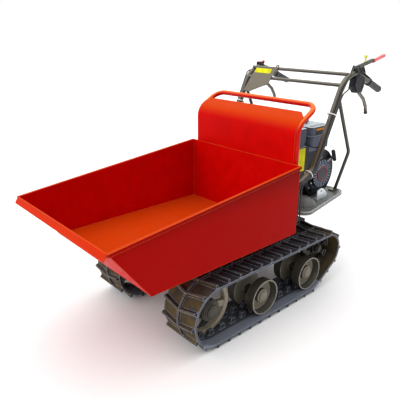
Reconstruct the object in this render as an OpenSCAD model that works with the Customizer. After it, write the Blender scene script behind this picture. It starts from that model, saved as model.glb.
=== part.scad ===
// Tracked power carrier: tipping skip on rubber tracks, with an engine and handlebars behind.
// Front is -Y, the operator stands at +Y, left is the operator's left at +X, the ground is z = 0.
// Lengths along Y count from the skip's back wall. The centred() module then moves the middle to the origin.

/* [Tracks] */
// Distance between the middles of the two tracks
track_gauge = 494; // [488:1:520]
// Width of each rubber belt
belt_w = 180; // [150:1:184]
// Thickness of the belt
belt_t = 9; // [7:0.5:11]
// Height of the tread lugs
lug_h = 14; // [12:1:18]
// Width of a lug at its foot
lug_foot = 19; // [14:1:26]
// Width of a lug at its tip
lug_tip = 7; // [5:0.5:12]
// Angle of each half lug, which makes the chevron
lug_skew = 11; // [0:1:14]
// Width of the rib along the middle of the tread
rib_w = 8; // [4:1:14]
// Height of that rib
rib_h = 9; // [4:1:11]
// Number of links round the belt
link_count = 34; // [30:1:38]
// Height of the guide horns inside the belt
horn_h = 22; // [14:1:26]
// Width of a guide horn
horn_w = 14; // [8:1:16]
// Free width between the two rows of horns
horn_gap = 34; // [32:1:36]

/* [Wheels] */
// Radius of the front idler
idler_r = 115.5; // [108:0.5:118]
// Width of the idler's rim
idler_w = 26; // [16:1:28]
// Number of spokes of the idler
spoke_count = 3; // [3:1:8]
// Distance of the idler's axle in front of the skip's back wall
idler_reach = 443; // [400:1:470]
// Radius of the road rollers
roller_r = 76; // [66:0.5:80]
// Width of one roller disc
roller_w = 40; // [30:1:44]
// Distance of the front roller in front of the back wall
front_roller_reach = 168; // [130:1:200]
// Distance of the rear roller behind the back wall
rear_roller_back = 133; // [110:1:140]
// Radius of the drive sprocket over its teeth
sprocket_r = 79; // [74:0.5:84]
// Number of sprocket teeth
tooth_count = 8; // [6:1:12]
// Thickness of the sprocket
sprocket_w = 18; // [10:1:24]
// Distance of the sprocket behind the back wall
sprocket_back = 244; // [240:1:256]
// Radius of the roller and idler axles
axle_r = 12.5; // [9:0.5:16]
// Gap between a wheel and the belt
wheel_gap = 0.5; // [0.3:0.1:2]
// Radial clearance of a running fit
run_fit = 0.05; // [0.02:0.01:0.1]

/* [Frame] */
// Height of the top of the frame rails
rail_top = 262; // [250:1:270]
// Height of a rail's section
rail_h = 50; // [36:1:52]
// Width of a rail's section
rail_w = 40; // [30:1:46]
// Gap between a rail and the belt beside it
rail_gap = 19; // [14:1:26]
// Reach of the rails behind the back wall
rail_back = 325; // [322:1:335]
// Wall of the hangers that carry the axles
hanger_t = 10; // [6:1:14]

/* [Skip] */
// Outer width of the skip
skip_w = 646; // [560:2:656]
// Height of the skip's underside
skip_z = 340; // [330:1:380]
// Length of the skip's floor
skip_len = 739; // [640:1:800]
// Reach of the front lip from the back wall
lip_reach = 889; // [820:1:960]
// Height of the front lip
lip_z = 542; // [480:1:580]
// Height of the back wall
back_z = 632; // [600:1:700]
// Thickness of the sheet
sheet = 3; // [2:0.5:5]
// Depth of the folded rim on the side walls
rim_h = 12; // [8:1:24]
// Width of the folded rim
rim_w = 7; // [3:0.5:12]
// Depth of the front lip's return fold
lip_fold = 26; // [12:1:40]
// Reach of the tipping pivot from the back wall
pivot_reach = 510; // [490:1:530]
// Height of the tipping pivot
pivot_z = 300; // [296:1:308]
// Radius of the tipping pins
pin_r = 8; // [6:0.5:10]

/* [Guard] */
// Half distance between the uprights of the guard tube
guard_half = 290; // [240:1:300]
// Diameter of the guard tube
guard_d = 22; // [16:1:28]
// Bend radius of the tube where it leans back
guard_bend = 60; // [40:1:80]
// Bend radius of the tube's top corners
guard_corner = 50; // [30:1:70]
// Reach of the top bar behind the back wall
guard_back = 130; // [110:1:160]
// Height of the top bar
guard_z = 852; // [820:1:900]
// Slope of the leaning part above the horizontal
guard_slope = 30; // [20:1:40]
// Free height of the hand slot, along the slope
slot_h = 55; // [40:1:70]
// Length of the tube that is welded behind the back wall
guard_foot = 72; // [40:1:120]

/* [Handlebars] */
// Half distance between the handlebars
bar_half = 270; // [262:1:276]
// Diameter of the handlebar tube
bar_d = 25; // [22:0.5:28]
// Diameter of the braces and cross tubes
brace_d = 16; // [12:0.5:18]
// Height of the handlebar's lower end
bar_low_z = 519; // [510:1:526]
// Height of the elbow behind the skip
elbow_z = 568; // [560:1:580]
// Reach of that elbow behind the back wall
elbow_back = 160; // [150:1:170]
// Height of the top bend's corner
bend_z = 989; // [970:1:1010]
// Reach of the top bend's corner
bend_back = 357; // [345:1:370]
// Reach of the grip's end
grip_back = 636; // [620:1:660]
// Height of the grip's end
grip_z = 873; // [860:1:890]
// Length of the rubber grip
grip_len = 112; // [90:1:118]
// Diameter of the rubber grip
grip_d = 31; // [29:0.5:36]

/* [Engine] */
// Height of the engine bed's top
bed_z = 400; // [396:1:404]
// Half width of the bed at its front
bed_front_half = 318; // [310:1:324]
// Half width of the bed at its rear
bed_rear_half = 246; // [240:1:260]
// Reach of the bed's front edge
bed_front = 77; // [72:1:82]
// Reach of the bed's rear edge
bed_back = 475; // [470:1:490]
// Reach of the crankshaft
crank_back = 335; // [332:1:338]
// Height of the crankshaft above the bed
crank_h = 106; // [104:1:110]
// Lean of the cylinder above the horizontal
cylinder_lean = 25; // [20:1:30]
// Number of cooling fins on the cylinder
fin_count = 7; // [4:1:8]
// Radius of the recoil starter's slotted ring
recoil_r = 66; // [56:1:72]
// Number of slots round the recoil starter
recoil_slots = 28; // [16:1:36]
// Pitch radius of the engine pulley
engine_pulley_r = 38; // [34:0.5:42]
// Pitch radius of the gearbox pulley
box_pulley_r = 56; // [50:0.5:58]

/* [Hidden] */
$fn = 64;

// Gap left between pieces that are held together but are separate solids
seat_gap = 0.1;
// Gap between pieces of different moving bodies
free_gap = 0.4;

// Overall length, which sets the middle of the model
lip_turn = atan2(lip_z - skip_z, lip_reach - skip_len);
lip_drop = 60;
lip_end = -lip_reach - lip_fold * cos(lip_drop);
grip_slope = atan2(grip_z - bend_z, grip_back - bend_back);
grip_end = grip_back + grip_d / 2 * abs(sin(grip_slope));
top_bend = 110;
// Distance of the controls' starting point past the top bend's corner
control_run = 67;
bar_up = unit([bend_back - elbow_back, bend_z - elbow_z]);
bar_down = unit([grip_back - bend_back, grip_z - bend_z]);
top_turn = acos(bar_up * bar_down);
top_centre = [bend_back, bend_z] - top_bend * tan(top_turn / 2) * bar_up + top_bend * [bar_up[1], -bar_up[0]];
bar_norm = [-bar_down[1], bar_down[0]];
bar_start = [bend_back, bend_z] + control_run * bar_down;
// Place beside the bar past its top bend: distance from the starting point, and height over the middle line
function bar_local(s, up) = bar_start + s * bar_down + up * bar_norm;
function bar_spots(list) = [for (p = list) bar_local(p[0], p[1])];
red_from = bar_local(110, 90);
red_to = bar_local(188, 145);
red_r = 8;
red_end = red_to[0] + (red_r - 1) * sin(atan2(red_to[1] - red_from[1], red_to[0] - red_from[0]));
middle = (lip_end + max(grip_end, red_end)) / 2;

module centred() {
    translate([0, -middle, 0]) children();
}

// Vectors and rods
function unit(v) = v / norm(v);
function corner_turn(a, b, c) = acos(min(1, max(-1, unit(b - a) * unit(c - b))));

module along(p, q) {
    d = q - p;
    translate(p) rotate([0, acos(d[2] / norm(d)), atan2(d[1], d[0])]) children();
}

module rod(p, q, r) {
    along(p, q) cylinder(r = r, h = norm(q - p));
}

module across(x0, x1, y, z, r) {
    translate([min(x0, x1), y, z]) rotate([0, 90, 0]) cylinder(r = r, h = abs(x1 - x0));
}

// A plate whose outline lies in the YZ plane, from x0 to x1
module slab(x0, x1) {
    translate([min(x0, x1), 0, 0]) rotate([90, 0, 90]) linear_extrude(abs(x1 - x0)) children();
}

module block(low, high) {
    translate(low) cube(high - low);
}

module both_sides() {
    for (side = [0, 1]) mirror([side, 0, 0]) children();
}

// A round tube through points, with a bend of its own radius at each inner point
// A collar, thicker by a hair, joins each bend to the straight beside it
collar_up = 0.05;
collar_half = 0.6;
joint_gap = 0.2;

module bent_tube(points, bends, r) {
    last = len(points) - 1;
    turns = [for (i = [0 : last]) i == 0 || i == last ? 0
        : corner_turn(points[i - 1], points[i], points[i + 1])];
    cuts = [for (i = [0 : last]) i == 0 || i == last ? 0 : bends[i - 1] * tan(turns[i] / 2)];
    for (i = [0 : last - 1]) {
        u = unit(points[i + 1] - points[i]);
        from = points[i] + cuts[i] * u;
        to = points[i + 1] - cuts[i + 1] * u;
        rod(from + (i > 0 ? joint_gap : 0) * u, to - (i < last - 1 ? joint_gap : 0) * u, r);
        if (i > 0) rod(from - collar_half * u, from + collar_half * u, r + collar_up);
        if (i < last - 1) rod(to - collar_half * u, to + collar_half * u, r + collar_up);
    }
    for (i = [1 : last - 1]) {
        u = unit(points[i] - points[i - 1]);
        axis = unit(cross(u, unit(points[i + 1] - points[i])));
        inward = cross(axis, u);
        c = points[i] - cuts[i] * u + bends[i - 1] * inward;
        multmatrix([[-inward[0], u[0], axis[0], c[0]], [-inward[1], u[1], axis[1], c[1]],
            [-inward[2], u[2], axis[2], c[2]], [0, 0, 0, 1]])
            rotate_extrude(angle = turns[i]) translate([bends[i - 1], 0]) circle(r);
    }
}

// A polygon with rounded corners
arc_steps = 6;
function rounded(points, r) = [for (i = [0 : len(points) - 1])
    let (b = points[i], a = points[(i + len(points) - 1) % len(points)], c = points[(i + 1) % len(points)],
        u = unit(b - a), w = unit(c - b), turn = corner_turn(a, b, c),
        side = u[0] * w[1] - u[1] * w[0] > 0 ? 1 : -1,
        cut = r * tan(turn / 2), centre = b - cut * u + r * side * [-u[1], u[0]],
        start = atan2(-side * u[0], side * u[1]))
    for (k = [0 : arc_steps]) let (ang = start + side * turn * k / arc_steps)
        centre + r * [cos(ang), sin(ang)]];

// Belts round wheels, where each wheel is [y, z, radius of the belt's inner face]
function out_angle(a, b) = let (d = [b[0] - a[0], b[1] - a[1]])
    atan2(d[1], d[0]) - acos((a[2] - b[2]) / norm(d));
function after(w, i) = w[(i + 1) % len(w)];
function before(w, i) = w[(i + len(w) - 1) % len(w)];
function leaves(w) = [for (i = [0 : len(w) - 1]) out_angle(w[i], after(w, i))];
function arrives(w) = [for (i = [0 : len(w) - 1]) out_angle(before(w, i), w[i])];
function wraps(w) = let (l = leaves(w), a = arrives(w))
    [for (i = [0 : len(w) - 1]) (l[i] - a[i] + 720) % 360];
function spot(wheel, ang) = [wheel[0], wheel[1]] + wheel[2] * [cos(ang), sin(ang)];
function runs(w) = let (l = leaves(w))
    [for (i = [0 : len(w) - 1]) norm(spot(after(w, i), l[i]) - spot(w[i], l[i]))];
function arcs(w, mid) = let (s = wraps(w)) [for (i = [0 : len(w) - 1]) (w[i][2] + mid) * s[i] * PI / 180];
function sum(v, k) = k < 0 ? 0 : v[k] + sum(v, k - 1);

// Point and outward angle at a distance along the belt's middle line
function belt_spot(w, mid, s, i = 0) =
    let (arc = arcs(w, mid)[i], run = runs(w)[i], leave = leaves(w)[i])
    s < arc ? let (ang = arrives(w)[i] + s / (w[i][2] + mid) * 180 / PI) [spot(w[i], ang), ang]
    : s < arc + run ? [spot(w[i], leave) + (s - arc) * [-sin(leave), cos(leave)], leave]
    : belt_spot(w, mid, s - arc - run, i + 1);

// Sweeps a belt round the wheels: the section's x is outwards and its y is across the belt
// The bends are thinner by a hair, and the straight runs lap into them
module belt_loop(w) {
    leave = leaves(w);
    arrive = arrives(w);
    wrap = wraps(w);
    run = runs(w);
    for (i = [0 : len(w) - 1]) {
        p = spot(w[i], leave[i]);
        translate([0, w[i][0], w[i][1]]) rotate([90, 0, 90]) rotate(arrive[i])
            rotate_extrude(angle = wrap[i]) translate([w[i][2], 0]) belt_section(collar_up);
        translate([0, p[0], p[1]]) rotate([90, 0, 90]) rotate(leave[i]) rotate([-90, 0, 0])
            translate([0, 0, -collar_half]) linear_extrude(run[i] + 2 * collar_half) belt_section(0);
    }
}

// Track: the loop is idler, rear roller, raised sprocket
track_mid = track_gauge / 2;
belt_in = track_mid - belt_w / 2;
ground_in = lug_h + belt_t;
idler_y = -idler_reach;
idler_z = ground_in + wheel_gap + idler_r;
roller_z = ground_in + wheel_gap + roller_r;
roller_ys = [-front_roller_reach, rear_roller_back];
sprocket_y = sprocket_back;
sprocket_z = idler_z + idler_r - sprocket_r;
track_loop = [
    [idler_y, idler_z, idler_r + wheel_gap],
    [rear_roller_back, roller_z, roller_r + wheel_gap],
    [sprocket_y, sprocket_z, sprocket_r + wheel_gap]
];
belt_mid = belt_t / 2;
track_len = sum(arcs(track_loop, belt_mid), 2) + sum(runs(track_loop), 2);
link_pitch = track_len / link_count;
// A lug stands just before the rear roller's wrap, so that no slanted lug dips under the ground there
lug_before = 26;
lug_start = (arcs(track_loop, belt_mid)[0] + runs(track_loop)[0] - lug_before) % link_pitch;
lug_inset = 1;

module belt_section(thin) {
    translate([thin, thin - belt_w / 2]) square([belt_t - 2 * thin, belt_w - 2 * thin]);
    translate([belt_mid, thin - rib_w / 2]) square([belt_t - belt_mid + rib_h - thin, rib_w - 2 * thin]);
}

// Half a chevron lug: x outwards, y along the belt, z across it
module half_lug() {
    overlap = lug_foot / 2 * tan(lug_skew);
    half = belt_w / 2 - lug_inset;
    reach = (half - lug_foot / 2 * sin(lug_skew)) / cos(lug_skew);
    rotate([lug_skew, 0, 0]) translate([0, 0, -overlap]) linear_extrude(reach + overlap)
        polygon([[belt_mid, -lug_foot / 2], [belt_mid, lug_foot / 2],
            [belt_t + lug_h, lug_tip / 2], [belt_t + lug_h, -lug_tip / 2]]);
}

module horn_pair() {
    horn_foot = link_pitch * 0.56;
    horn_tip = link_pitch * 0.3;
    for (side = [-1, 1]) translate([0, 0, side * (horn_gap + horn_w) / 2 - horn_w / 2]) linear_extrude(horn_w)
        polygon([[belt_mid, -horn_foot / 2], [-horn_h, -horn_tip / 2], [-horn_h, horn_tip / 2],
            [belt_mid, horn_foot / 2]]);
}

module track() {
    belt_loop(track_loop);
    for (k = [0 : link_count - 1]) {
        p = belt_spot(track_loop, belt_mid, k * link_pitch + lug_start);
        translate([0, p[0][0], p[0][1]]) rotate([90, 0, 90]) rotate(p[1]) {
            half_lug();
            mirror([0, 0, 1]) half_lug();
            horn_pair();
        }
    }
}

module left_track() {
    color("dimgray") centred() translate([track_mid, 0, 0]) track();
}

module right_track() {
    color("dimgray") centred() translate([-track_mid, 0, 0]) track();
}

// Wheels, each made round its own axle and then set in place
disc_in = horn_gap / 2 + horn_w + 2;
disc_out = disc_in + roller_w;
hub_end = disc_out - 14;

module roller() {
    bore = axle_r + run_fit;
    hub = axle_r + 18;
    sleeve = axle_r + 9;
    rim = 4;
    floor_a = disc_in + 8;
    side = [[hub - 3, hub_end], [hub, hub_end - 3], [hub + 2, floor_a], [roller_r - rim - 10, floor_a + 2],
        [roller_r - rim, disc_out], [roller_r, disc_out], [roller_r, disc_in], [sleeve + 4, disc_in],
        [sleeve, disc_in - 4]];
    rotate([0, 90, 0]) rotate_extrude() polygon(concat([[bore, hub_end]], side,
        [for (i = [len(side) - 1 : -1 : 0]) [side[i][0], -side[i][1]]], [[bore, -hub_end]]));
}

module placed_roller(side, i) {
    color("darkkhaki") centred() translate([side * track_mid, roller_ys[i], roller_z]) roller();
}

module left_front_roller() { placed_roller(1, 0); }
module left_rear_roller() { placed_roller(1, 1); }
module right_front_roller() { placed_roller(-1, 0); }
module right_rear_roller() { placed_roller(-1, 1); }

idler_hub = axle_r + 31;
idler_hub_end = idler_w / 2 + 34;
// Direction of the first spoke, above the way to the rear
spoke_from = -11;

module idler() {
    rim = 17;
    spoke_w = 26;
    step = 5;
    spoke_t = idler_w * 0.6;
    rotate([0, 90, 0]) difference() {
        union() {
            difference() {
                cylinder(r = idler_r, h = idler_w, center = true);
                cylinder(r = idler_r - rim, h = idler_w + 2, center = true);
            }
            for (k = [0 : 2])
                cylinder(r = idler_hub - k * step, h = 2 * (idler_hub_end - (2 - k) * step), center = true);
            for (k = [0 : spoke_count - 1]) rotate(k * 360 / spoke_count + spoke_from + 90)
                translate([idler_hub - 4, -spoke_w / 2, -spoke_t / 2])
                    cube([idler_r - idler_hub - rim / 2, spoke_w, spoke_t]);
        }
        cylinder(r = axle_r + run_fit, h = 3 * idler_hub_end, center = true);
    }
}

module left_idler() {
    color("darkkhaki") centred() translate([track_mid, idler_y, idler_z]) idler();
}

module right_idler() {
    color("darkkhaki") centred() translate([-track_mid, idler_y, idler_z]) idler();
}

shaft_r = 15;
sprocket_hub_r = shaft_r + 14;
sprocket_hub_end = sprocket_w / 2 + 14;

module sprocket() {
    root = sprocket_r - 16;
    tooth_foot = 2 * PI * root / tooth_count * 0.55;
    tooth_tip = tooth_foot * 0.55;
    tooth_w = sprocket_w - 1;
    lighten_r = 8;
    rotate([0, 90, 0]) difference() {
        union() {
            cylinder(r = root, h = sprocket_w, center = true);
            cylinder(r = sprocket_hub_r, h = 2 * sprocket_hub_end, center = true);
            for (k = [0 : tooth_count - 1]) rotate(k * 360 / tooth_count) intersection() {
                translate([0, 0, -tooth_w / 2]) linear_extrude(tooth_w)
                    polygon([[root - 6, -tooth_foot / 2], [sprocket_r + 2, -tooth_tip / 2],
                        [sprocket_r + 2, tooth_tip / 2], [root - 6, tooth_foot / 2]]);
                cylinder(r = sprocket_r, h = sprocket_w + 2, center = true);
            }
        }
        cylinder(r = shaft_r + run_fit, h = 3 * sprocket_hub_end, center = true);
        for (k = [0 : 5]) rotate(k * 60 + 30) translate([(root + sprocket_hub_r) / 2, 0, 0])
            cylinder(r = lighten_r, h = sprocket_w + 2, center = true);
    }
}

module left_sprocket() {
    color("darkolivegreen") centred() translate([track_mid, sprocket_y, sprocket_z]) sprocket();
}

module right_sprocket() {
    color("darkolivegreen") centred() translate([-track_mid, sprocket_y, sprocket_z]) sprocket();
}

// Drive shaft with a collar behind the sprocket and a nut in front of it
box_half = 70;
box_sleeve_end = 118;

module drive_shaft() {
    collar_x = track_mid - sprocket_hub_end;
    nut_x = track_mid + sprocket_hub_end;
    across(box_half - 20, nut_x + 20, sprocket_y, sprocket_z, shaft_r);
    across(box_sleeve_end + free_gap, collar_x - seat_gap, sprocket_y, sprocket_z, shaft_r + 6);
    translate([nut_x + seat_gap, sprocket_y, sprocket_z]) rotate([0, 90, 0])
        cylinder(r = shaft_r + 7, h = 14, $fn = 6);
}

module left_drive_shaft() {
    color("silver") centred() drive_shaft();
}

module right_drive_shaft() {
    color("silver") centred() mirror([1, 0, 0]) drive_shaft();
}

// Frame: rails between the tracks, hangers for the axles, posts for the bed, the skip and the handlebars
rail_out = belt_in - rail_gap;
rail_in = rail_out - rail_w;
rail_low = rail_top - rail_h;
rail_mid = (rail_in + rail_out) / 2;
post_w = 22;
post_ys = [bed_front + 10, bed_front + 62];
bed_t = 4;
bar_low_y = 45;
bar_post = 36;
pivot_y = -pivot_reach;
rail_front = pivot_reach + 48;
lug_t = 10;
lug_out = rail_out - 18;
pivot_ring = pin_r + 10;
rest_y = -70;
rest_pad = 10;
latch_y = 17;
latch_x = -30;
latch_z = rail_top + 26;
latch_pin_r = 6;
slide_travel = 12;

module rail_side() {
    block([rail_in, -rail_front, rail_low], [rail_out, rail_back, rail_top]);
    for (y = roller_ys) slab(rail_out - hanger_t, rail_out) difference() {
        union() {
            translate([y, roller_z]) circle(axle_r + 18);
            polygon([[y - 46, rail_low + 2], [y - axle_r - 16, roller_z], [y + axle_r + 16, roller_z],
                [y + 46, rail_low + 2]]);
        }
        translate([y, roller_z]) circle(axle_r + seat_gap);
    }
    slab(rail_out - hanger_t, rail_out) difference() {
        polygon([[idler_y - 62, rail_low + 2], [idler_y - 50, idler_z - 30], [idler_y + 60, idler_z - 30],
            [idler_y + 96, rail_low + 2]]);
        translate([idler_y, idler_z]) circle(axle_r + seat_gap);
        translate([idler_y, idler_z - axle_r]) square([slide_travel, 2 * axle_r]);
        translate([idler_y + slide_travel, idler_z]) circle(axle_r);
    }
    for (y = post_ys) block([rail_in, y, rail_top - 1], [rail_in + post_w, y + post_w, bed_z - bed_t]);
    block([rail_mid - bar_post / 2, bar_low_y - bar_post / 2, rail_top - 1],
        [rail_mid + bar_post / 2, bar_low_y + bar_post / 2, bar_low_z + bar_d]);
    block([rail_mid - post_w / 2, rest_y - post_w / 2, rail_top - 1],
        [rail_mid + post_w / 2, rest_y + post_w / 2, skip_z - rest_pad - free_gap]);
    slab(lug_out - lug_t, lug_out) difference() {
        union() {
            translate([pivot_y, pivot_z]) circle(pivot_ring);
            polygon([[pivot_y - 34, rail_top - 1], [pivot_y - pivot_ring, pivot_z],
                [pivot_y + pivot_ring, pivot_z],
                [pivot_y + 44, rail_top - 1]]);
        }
        translate([pivot_y, pivot_z]) circle(pin_r + run_fit);
    }
}

module main_frame() {
    color("black") centred() {
        both_sides() rail_side();
        for (y = [-rail_front + 14, -front_roller_reach - 20, 20])
            block([-rail_in - 1, y, rail_low + 4], [rail_in + 1, y + 36, rail_top - 4]);
        latch_ears();
    }
}

// Ears for the latch on the cross member behind the skip
ear_t = 6;
module latch_ears() {
    for (side = [-1, 1]) slab(latch_x + side * 8, latch_x + side * (8 + ear_t)) difference() {
        union() {
            translate([latch_y + 12, latch_z]) circle(latch_pin_r + 7);
            translate([latch_y - 1, rail_top - 6]) square([26, latch_z - rail_top + 6]);
        }
        translate([latch_y + 12, latch_z]) circle(latch_pin_r + run_fit);
    }
}

// Domed cap that holds a wheel on its axle
module hub_cap(r) {
    rise = 9;
    rotate([0, 90, 0]) rotate_extrude()
        polygon([[0, 0], [r, 0], [r, 0.4 * rise], [0.75 * r, 0.8 * rise], [0.35 * r, rise], [0, rise]]);
}

module wheel_axles() {
    color("silver") centred() both_sides() {
        for (y = roller_ys) {
            across(rail_out - hanger_t - 14, track_mid + hub_end + 2, y, roller_z, axle_r);
            across(rail_out + seat_gap, track_mid - hub_end - free_gap, y, roller_z, axle_r + 5);
            translate([track_mid + hub_end + free_gap, y, roller_z]) hub_cap(axle_r + 11);
        }
        across(rail_out - hanger_t - 16, track_mid + idler_hub_end + 2, idler_y, idler_z, axle_r);
        across(rail_out + seat_gap, track_mid - idler_hub_end - free_gap, idler_y, idler_z, axle_r + 6);
        translate([track_mid + idler_hub_end + free_gap, idler_y, idler_z]) hub_cap(axle_r + 15);
    }
}

// Track tension: a screw in a lug behind each idler's axle
module tension_screws() {
    color("gainsboro") centred() both_sides() {
        x = rail_out - hanger_t - 9;
        screw_r = 6;
        from = idler_y + axle_r + 2;
        to = idler_y + 92;
        rod([x, from, idler_z], [x, to, idler_z], screw_r);
        block([x - 9, from + 36, idler_z - 18], [rail_out - hanger_t - seat_gap, from + 50, idler_z + 18]);
        translate([x, to - 18, idler_z]) rotate([-90, 0, 0]) cylinder(r = screw_r + 5, h = 10, $fn = 6);
    }
}

module skip_rests() {
    color("black") centred() both_sides()
        block([rail_mid - post_w / 2, rest_y - post_w / 2, skip_z - rest_pad - free_gap],
            [rail_mid + post_w / 2, rest_y + post_w / 2, skip_z - free_gap]);
}

// Skip: a folded tub, open at the top, with a lip, side rims and hinge ears under its floor
skip_half = skip_w / 2;
ear_out = lug_out - lug_t - 1.5;
catch_z = skip_z + 12;

module skip() {
    front = [-cos(lip_turn), sin(lip_turn)];
    corner = [-skip_len + sheet * tan(lip_turn / 2), skip_z + sheet];
    high = lip_reach;
    lip = [-lip_reach, lip_z];
    fold = lip_fold * [-cos(lip_drop), -sin(lip_drop)];
    under = sheet * [sin(lip_drop), -cos(lip_drop)];
    color("firebrick") centred() {
        difference() {
            slab(-skip_half, skip_half) polygon([[0, skip_z], [-skip_len, skip_z], lip, [0, back_z]]);
            slab(-skip_half + sheet, skip_half - sheet)
                polygon([[-sheet, corner[1]], corner, corner + high * front,
                    [-sheet, corner[1] + high * front[1]]]);
        }
        slab(-skip_half, skip_half) polygon([lip, lip + fold, lip + fold + under, lip + under]);
        both_sides() {
            slab(skip_half - 1, skip_half + rim_w)
                polygon([[0, back_z], lip, lip - [0, rim_h], [0, back_z - rim_h]]);
            slab(ear_out - lug_t, ear_out) difference() {
                union() {
                    translate([pivot_y, pivot_z]) circle(pivot_ring);
                    polygon([[pivot_y - 40, skip_z + 1], [pivot_y - pivot_ring, pivot_z],
                        [pivot_y + pivot_ring, pivot_z],
                        [pivot_y + 60, skip_z + 1]]);
                }
                translate([pivot_y, pivot_z]) circle(pin_r + run_fit);
            }
        }
        block([latch_x - 16, seat_gap, catch_z], [latch_x + 16, 12, catch_z + 8]);
    }
}

module tip_pins() {
    color("silver") centred() both_sides() {
        across(ear_out - lug_t - 4, lug_out + 2, pivot_y, pivot_z, pin_r);
        across(lug_out + seat_gap, lug_out + 6, pivot_y, pivot_z, pin_r + 4);
    }
}

// Guard: a tube welded behind the back wall and a sheet in front of it
guard_r = guard_d / 2;
guard_y = guard_r + seat_gap;
guard_turn = 90 - guard_slope;
guard_knee_z = guard_z - (guard_back - guard_y) * tan(guard_slope);
guard_start_z = guard_knee_z - guard_bend * tan(guard_turn / 2);

module guard_tube() {
    side = [[guard_half, guard_y, back_z - guard_foot], [guard_half, guard_y, guard_knee_z],
        [guard_half, guard_back, guard_z]];
    points = concat(side, [for (i = [2 : -1 : 0]) [-side[i][0], side[i][1], side[i][2]]]);
    color("darkslategray") centred()
        bent_tube(points, [guard_bend, guard_corner, guard_corner, guard_bend], guard_r);
}

module guard_panel() {
    half = guard_half - 1;
    in_r = guard_bend + guard_y;
    slope_len = norm([guard_back - guard_y, guard_z - guard_knee_z]) - guard_bend * tan(guard_turn / 2);
    plate_len = slope_len - slot_h - guard_r;
    corner_r = 40;
    color("firebrick") centred() {
        block([-half, -sheet, back_z], [half, 0, guard_start_z + collar_half]);
        translate([-half, in_r, guard_start_z]) rotate([90, 0, 90]) rotate(180 - guard_turn)
            rotate_extrude(angle = guard_turn) translate([in_r + collar_up, collar_up])
                square([sheet - 2 * collar_up, 2 * (half - collar_up)]);
        translate([0, in_r * (1 - cos(guard_turn)), guard_start_z + in_r * sin(guard_turn)])
            rotate([guard_slope, 0, 0]) linear_extrude(sheet) difference() {
                translate([-half, -collar_half]) square([2 * half, plate_len + collar_half]);
                for (side = [-1, 1]) translate([side * half, plate_len]) rotate(45)
                    square(corner_r, center = true);
            }
    }
}

// Latch behind the skip, drawn released: it leans back and its nose clears the catch
latch_lean = 9;
latch_len = 262;

module latch_lever() {
    pin = [latch_y + 12, latch_z];
    nose_z = catch_z + 9 - latch_z;
    color("black") centred() translate([latch_x, pin[0], pin[1]]) rotate([-latch_lean, 0, 0]) {
        slab(-6.5, 6.5) union() {
            circle(latch_pin_r + 7);
            polygon([[-12, 0], [12, 0], [2, 110], [-12, 110]]);
        }
        slab(-6.5, 6.5) polygon([[-12 - seat_gap, nose_z], [-25, nose_z], [-25, nose_z + 7],
            [-12 - seat_gap, nose_z + 16]]);
        across(-18, 18, 0, 0, latch_pin_r);
        rod([0, -5, 100], [0, -5, latch_len], 6);
        translate([0, -5, latch_len]) sphere(14);
    }
}

// Gearbox between the rails, with sleeves for the drive shafts and a boss for the input shaft
input_y = sprocket_y + 6;
input_z = rail_top + 70;
input_r = 10;
pulley_x = -109;

module gearbox() {
    y0 = sprocket_y - 72;
    color("slategray") centred() difference() {
        union() {
            block([-box_half, y0, sprocket_z - 62], [box_half, y0 + 146, rail_top + 38]);
            block([-box_half + 10, y0 + 24, rail_top + 30], [box_half - 10, y0 + 132, input_z + 34]);
            across(-box_sleeve_end, box_sleeve_end, sprocket_y, sprocket_z, shaft_r + 13);
            across(-box_half - 14, -box_half + 20, input_y, input_z, input_r + 14);
            for (side = [-1, 1]) block([side > 0 ? box_half - 1 : -rail_in, y0 + 18, rail_low + 8],
                [side > 0 ? rail_in : -box_half + 1, y0 + 128, rail_low + 36]);
            for (k = [0 : 3]) block([-box_half - 4, y0 + 20 + 34 * k, sprocket_z - 54],
                [box_half + 4, y0 + 26 + 34 * k, rail_low - 6]);
        }
        for (side = [-1, 1]) across(side * (box_half - 21), side * (box_sleeve_end + 1),
            sprocket_y, sprocket_z, shaft_r + run_fit);
        across(-box_half - 15, -box_half + 16, input_y, input_z, input_r + run_fit);
    }
}

// Belt drive on the right side: two pulleys, a V-belt, and the clutch's tension arm
crank_y = crank_back;
crank_z = bed_z + crank_h;
v_loop = [[crank_y, crank_z, engine_pulley_r], [input_y, input_z, box_pulley_r]];
v_depth = 8;
v_in = 3.5;
v_out = 5.5;
v_gap = 0.5;
v_leave = leaves(v_loop)[0];
v_normal = [cos(v_leave), sin(v_leave)];
v_travel = [-sin(v_leave), cos(v_leave)];
arm_len = 62;
idle_r = 18;
idle_gap = 10;
idle_at = spot(v_loop[0], v_leave) + 0.5 * runs(v_loop)[0] * v_travel
    + (v_depth + idle_r + idle_gap) * v_normal;
arm_pivot = idle_at - arm_len * v_travel;
arm_pin_r = 6;
arm_x = pulley_x + 13;
crank_r = 10;
block_right = -55;
block_left = 115;

module pulley(r) {
    half = 11;
    edge = r + v_depth - 1;
    floor_r = r - 3;
    slope = (v_out - v_in) / v_depth;
    low = v_in + v_gap - slope * 3;
    top = v_in + v_gap + slope * (edge - r);
    rotate([0, 90, 0]) rotate_extrude()
        polygon([[0, -half], [edge, -half], [edge, -top], [floor_r, -low], [floor_r, low], [edge, top],
            [edge, half],
            [0, half]]);
}

module engine_pulley() {
    color("gray") centred() {
        translate([pulley_x, crank_y, crank_z]) pulley(engine_pulley_r);
        across(pulley_x - 14, block_right + 8, crank_y, crank_z, crank_r);
    }
}

module gearbox_pulley() {
    color("gray") centred() {
        translate([pulley_x, input_y, input_z]) pulley(box_pulley_r);
        across(pulley_x - 14, -box_half + 14, input_y, input_z, input_r);
    }
}

// Outline of a belt round its wheels, grown outwards by a thickness
wrap_steps = 24;
function belt_outline(w, grow) = let (a = arrives(w), s = wraps(w)) [for (i = [0 : len(w) - 1])
    for (k = [0 : wrap_steps]) spot([w[i][0], w[i][1], w[i][2] + grow], a[i] + s[i] * k / wrap_steps)];

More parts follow.
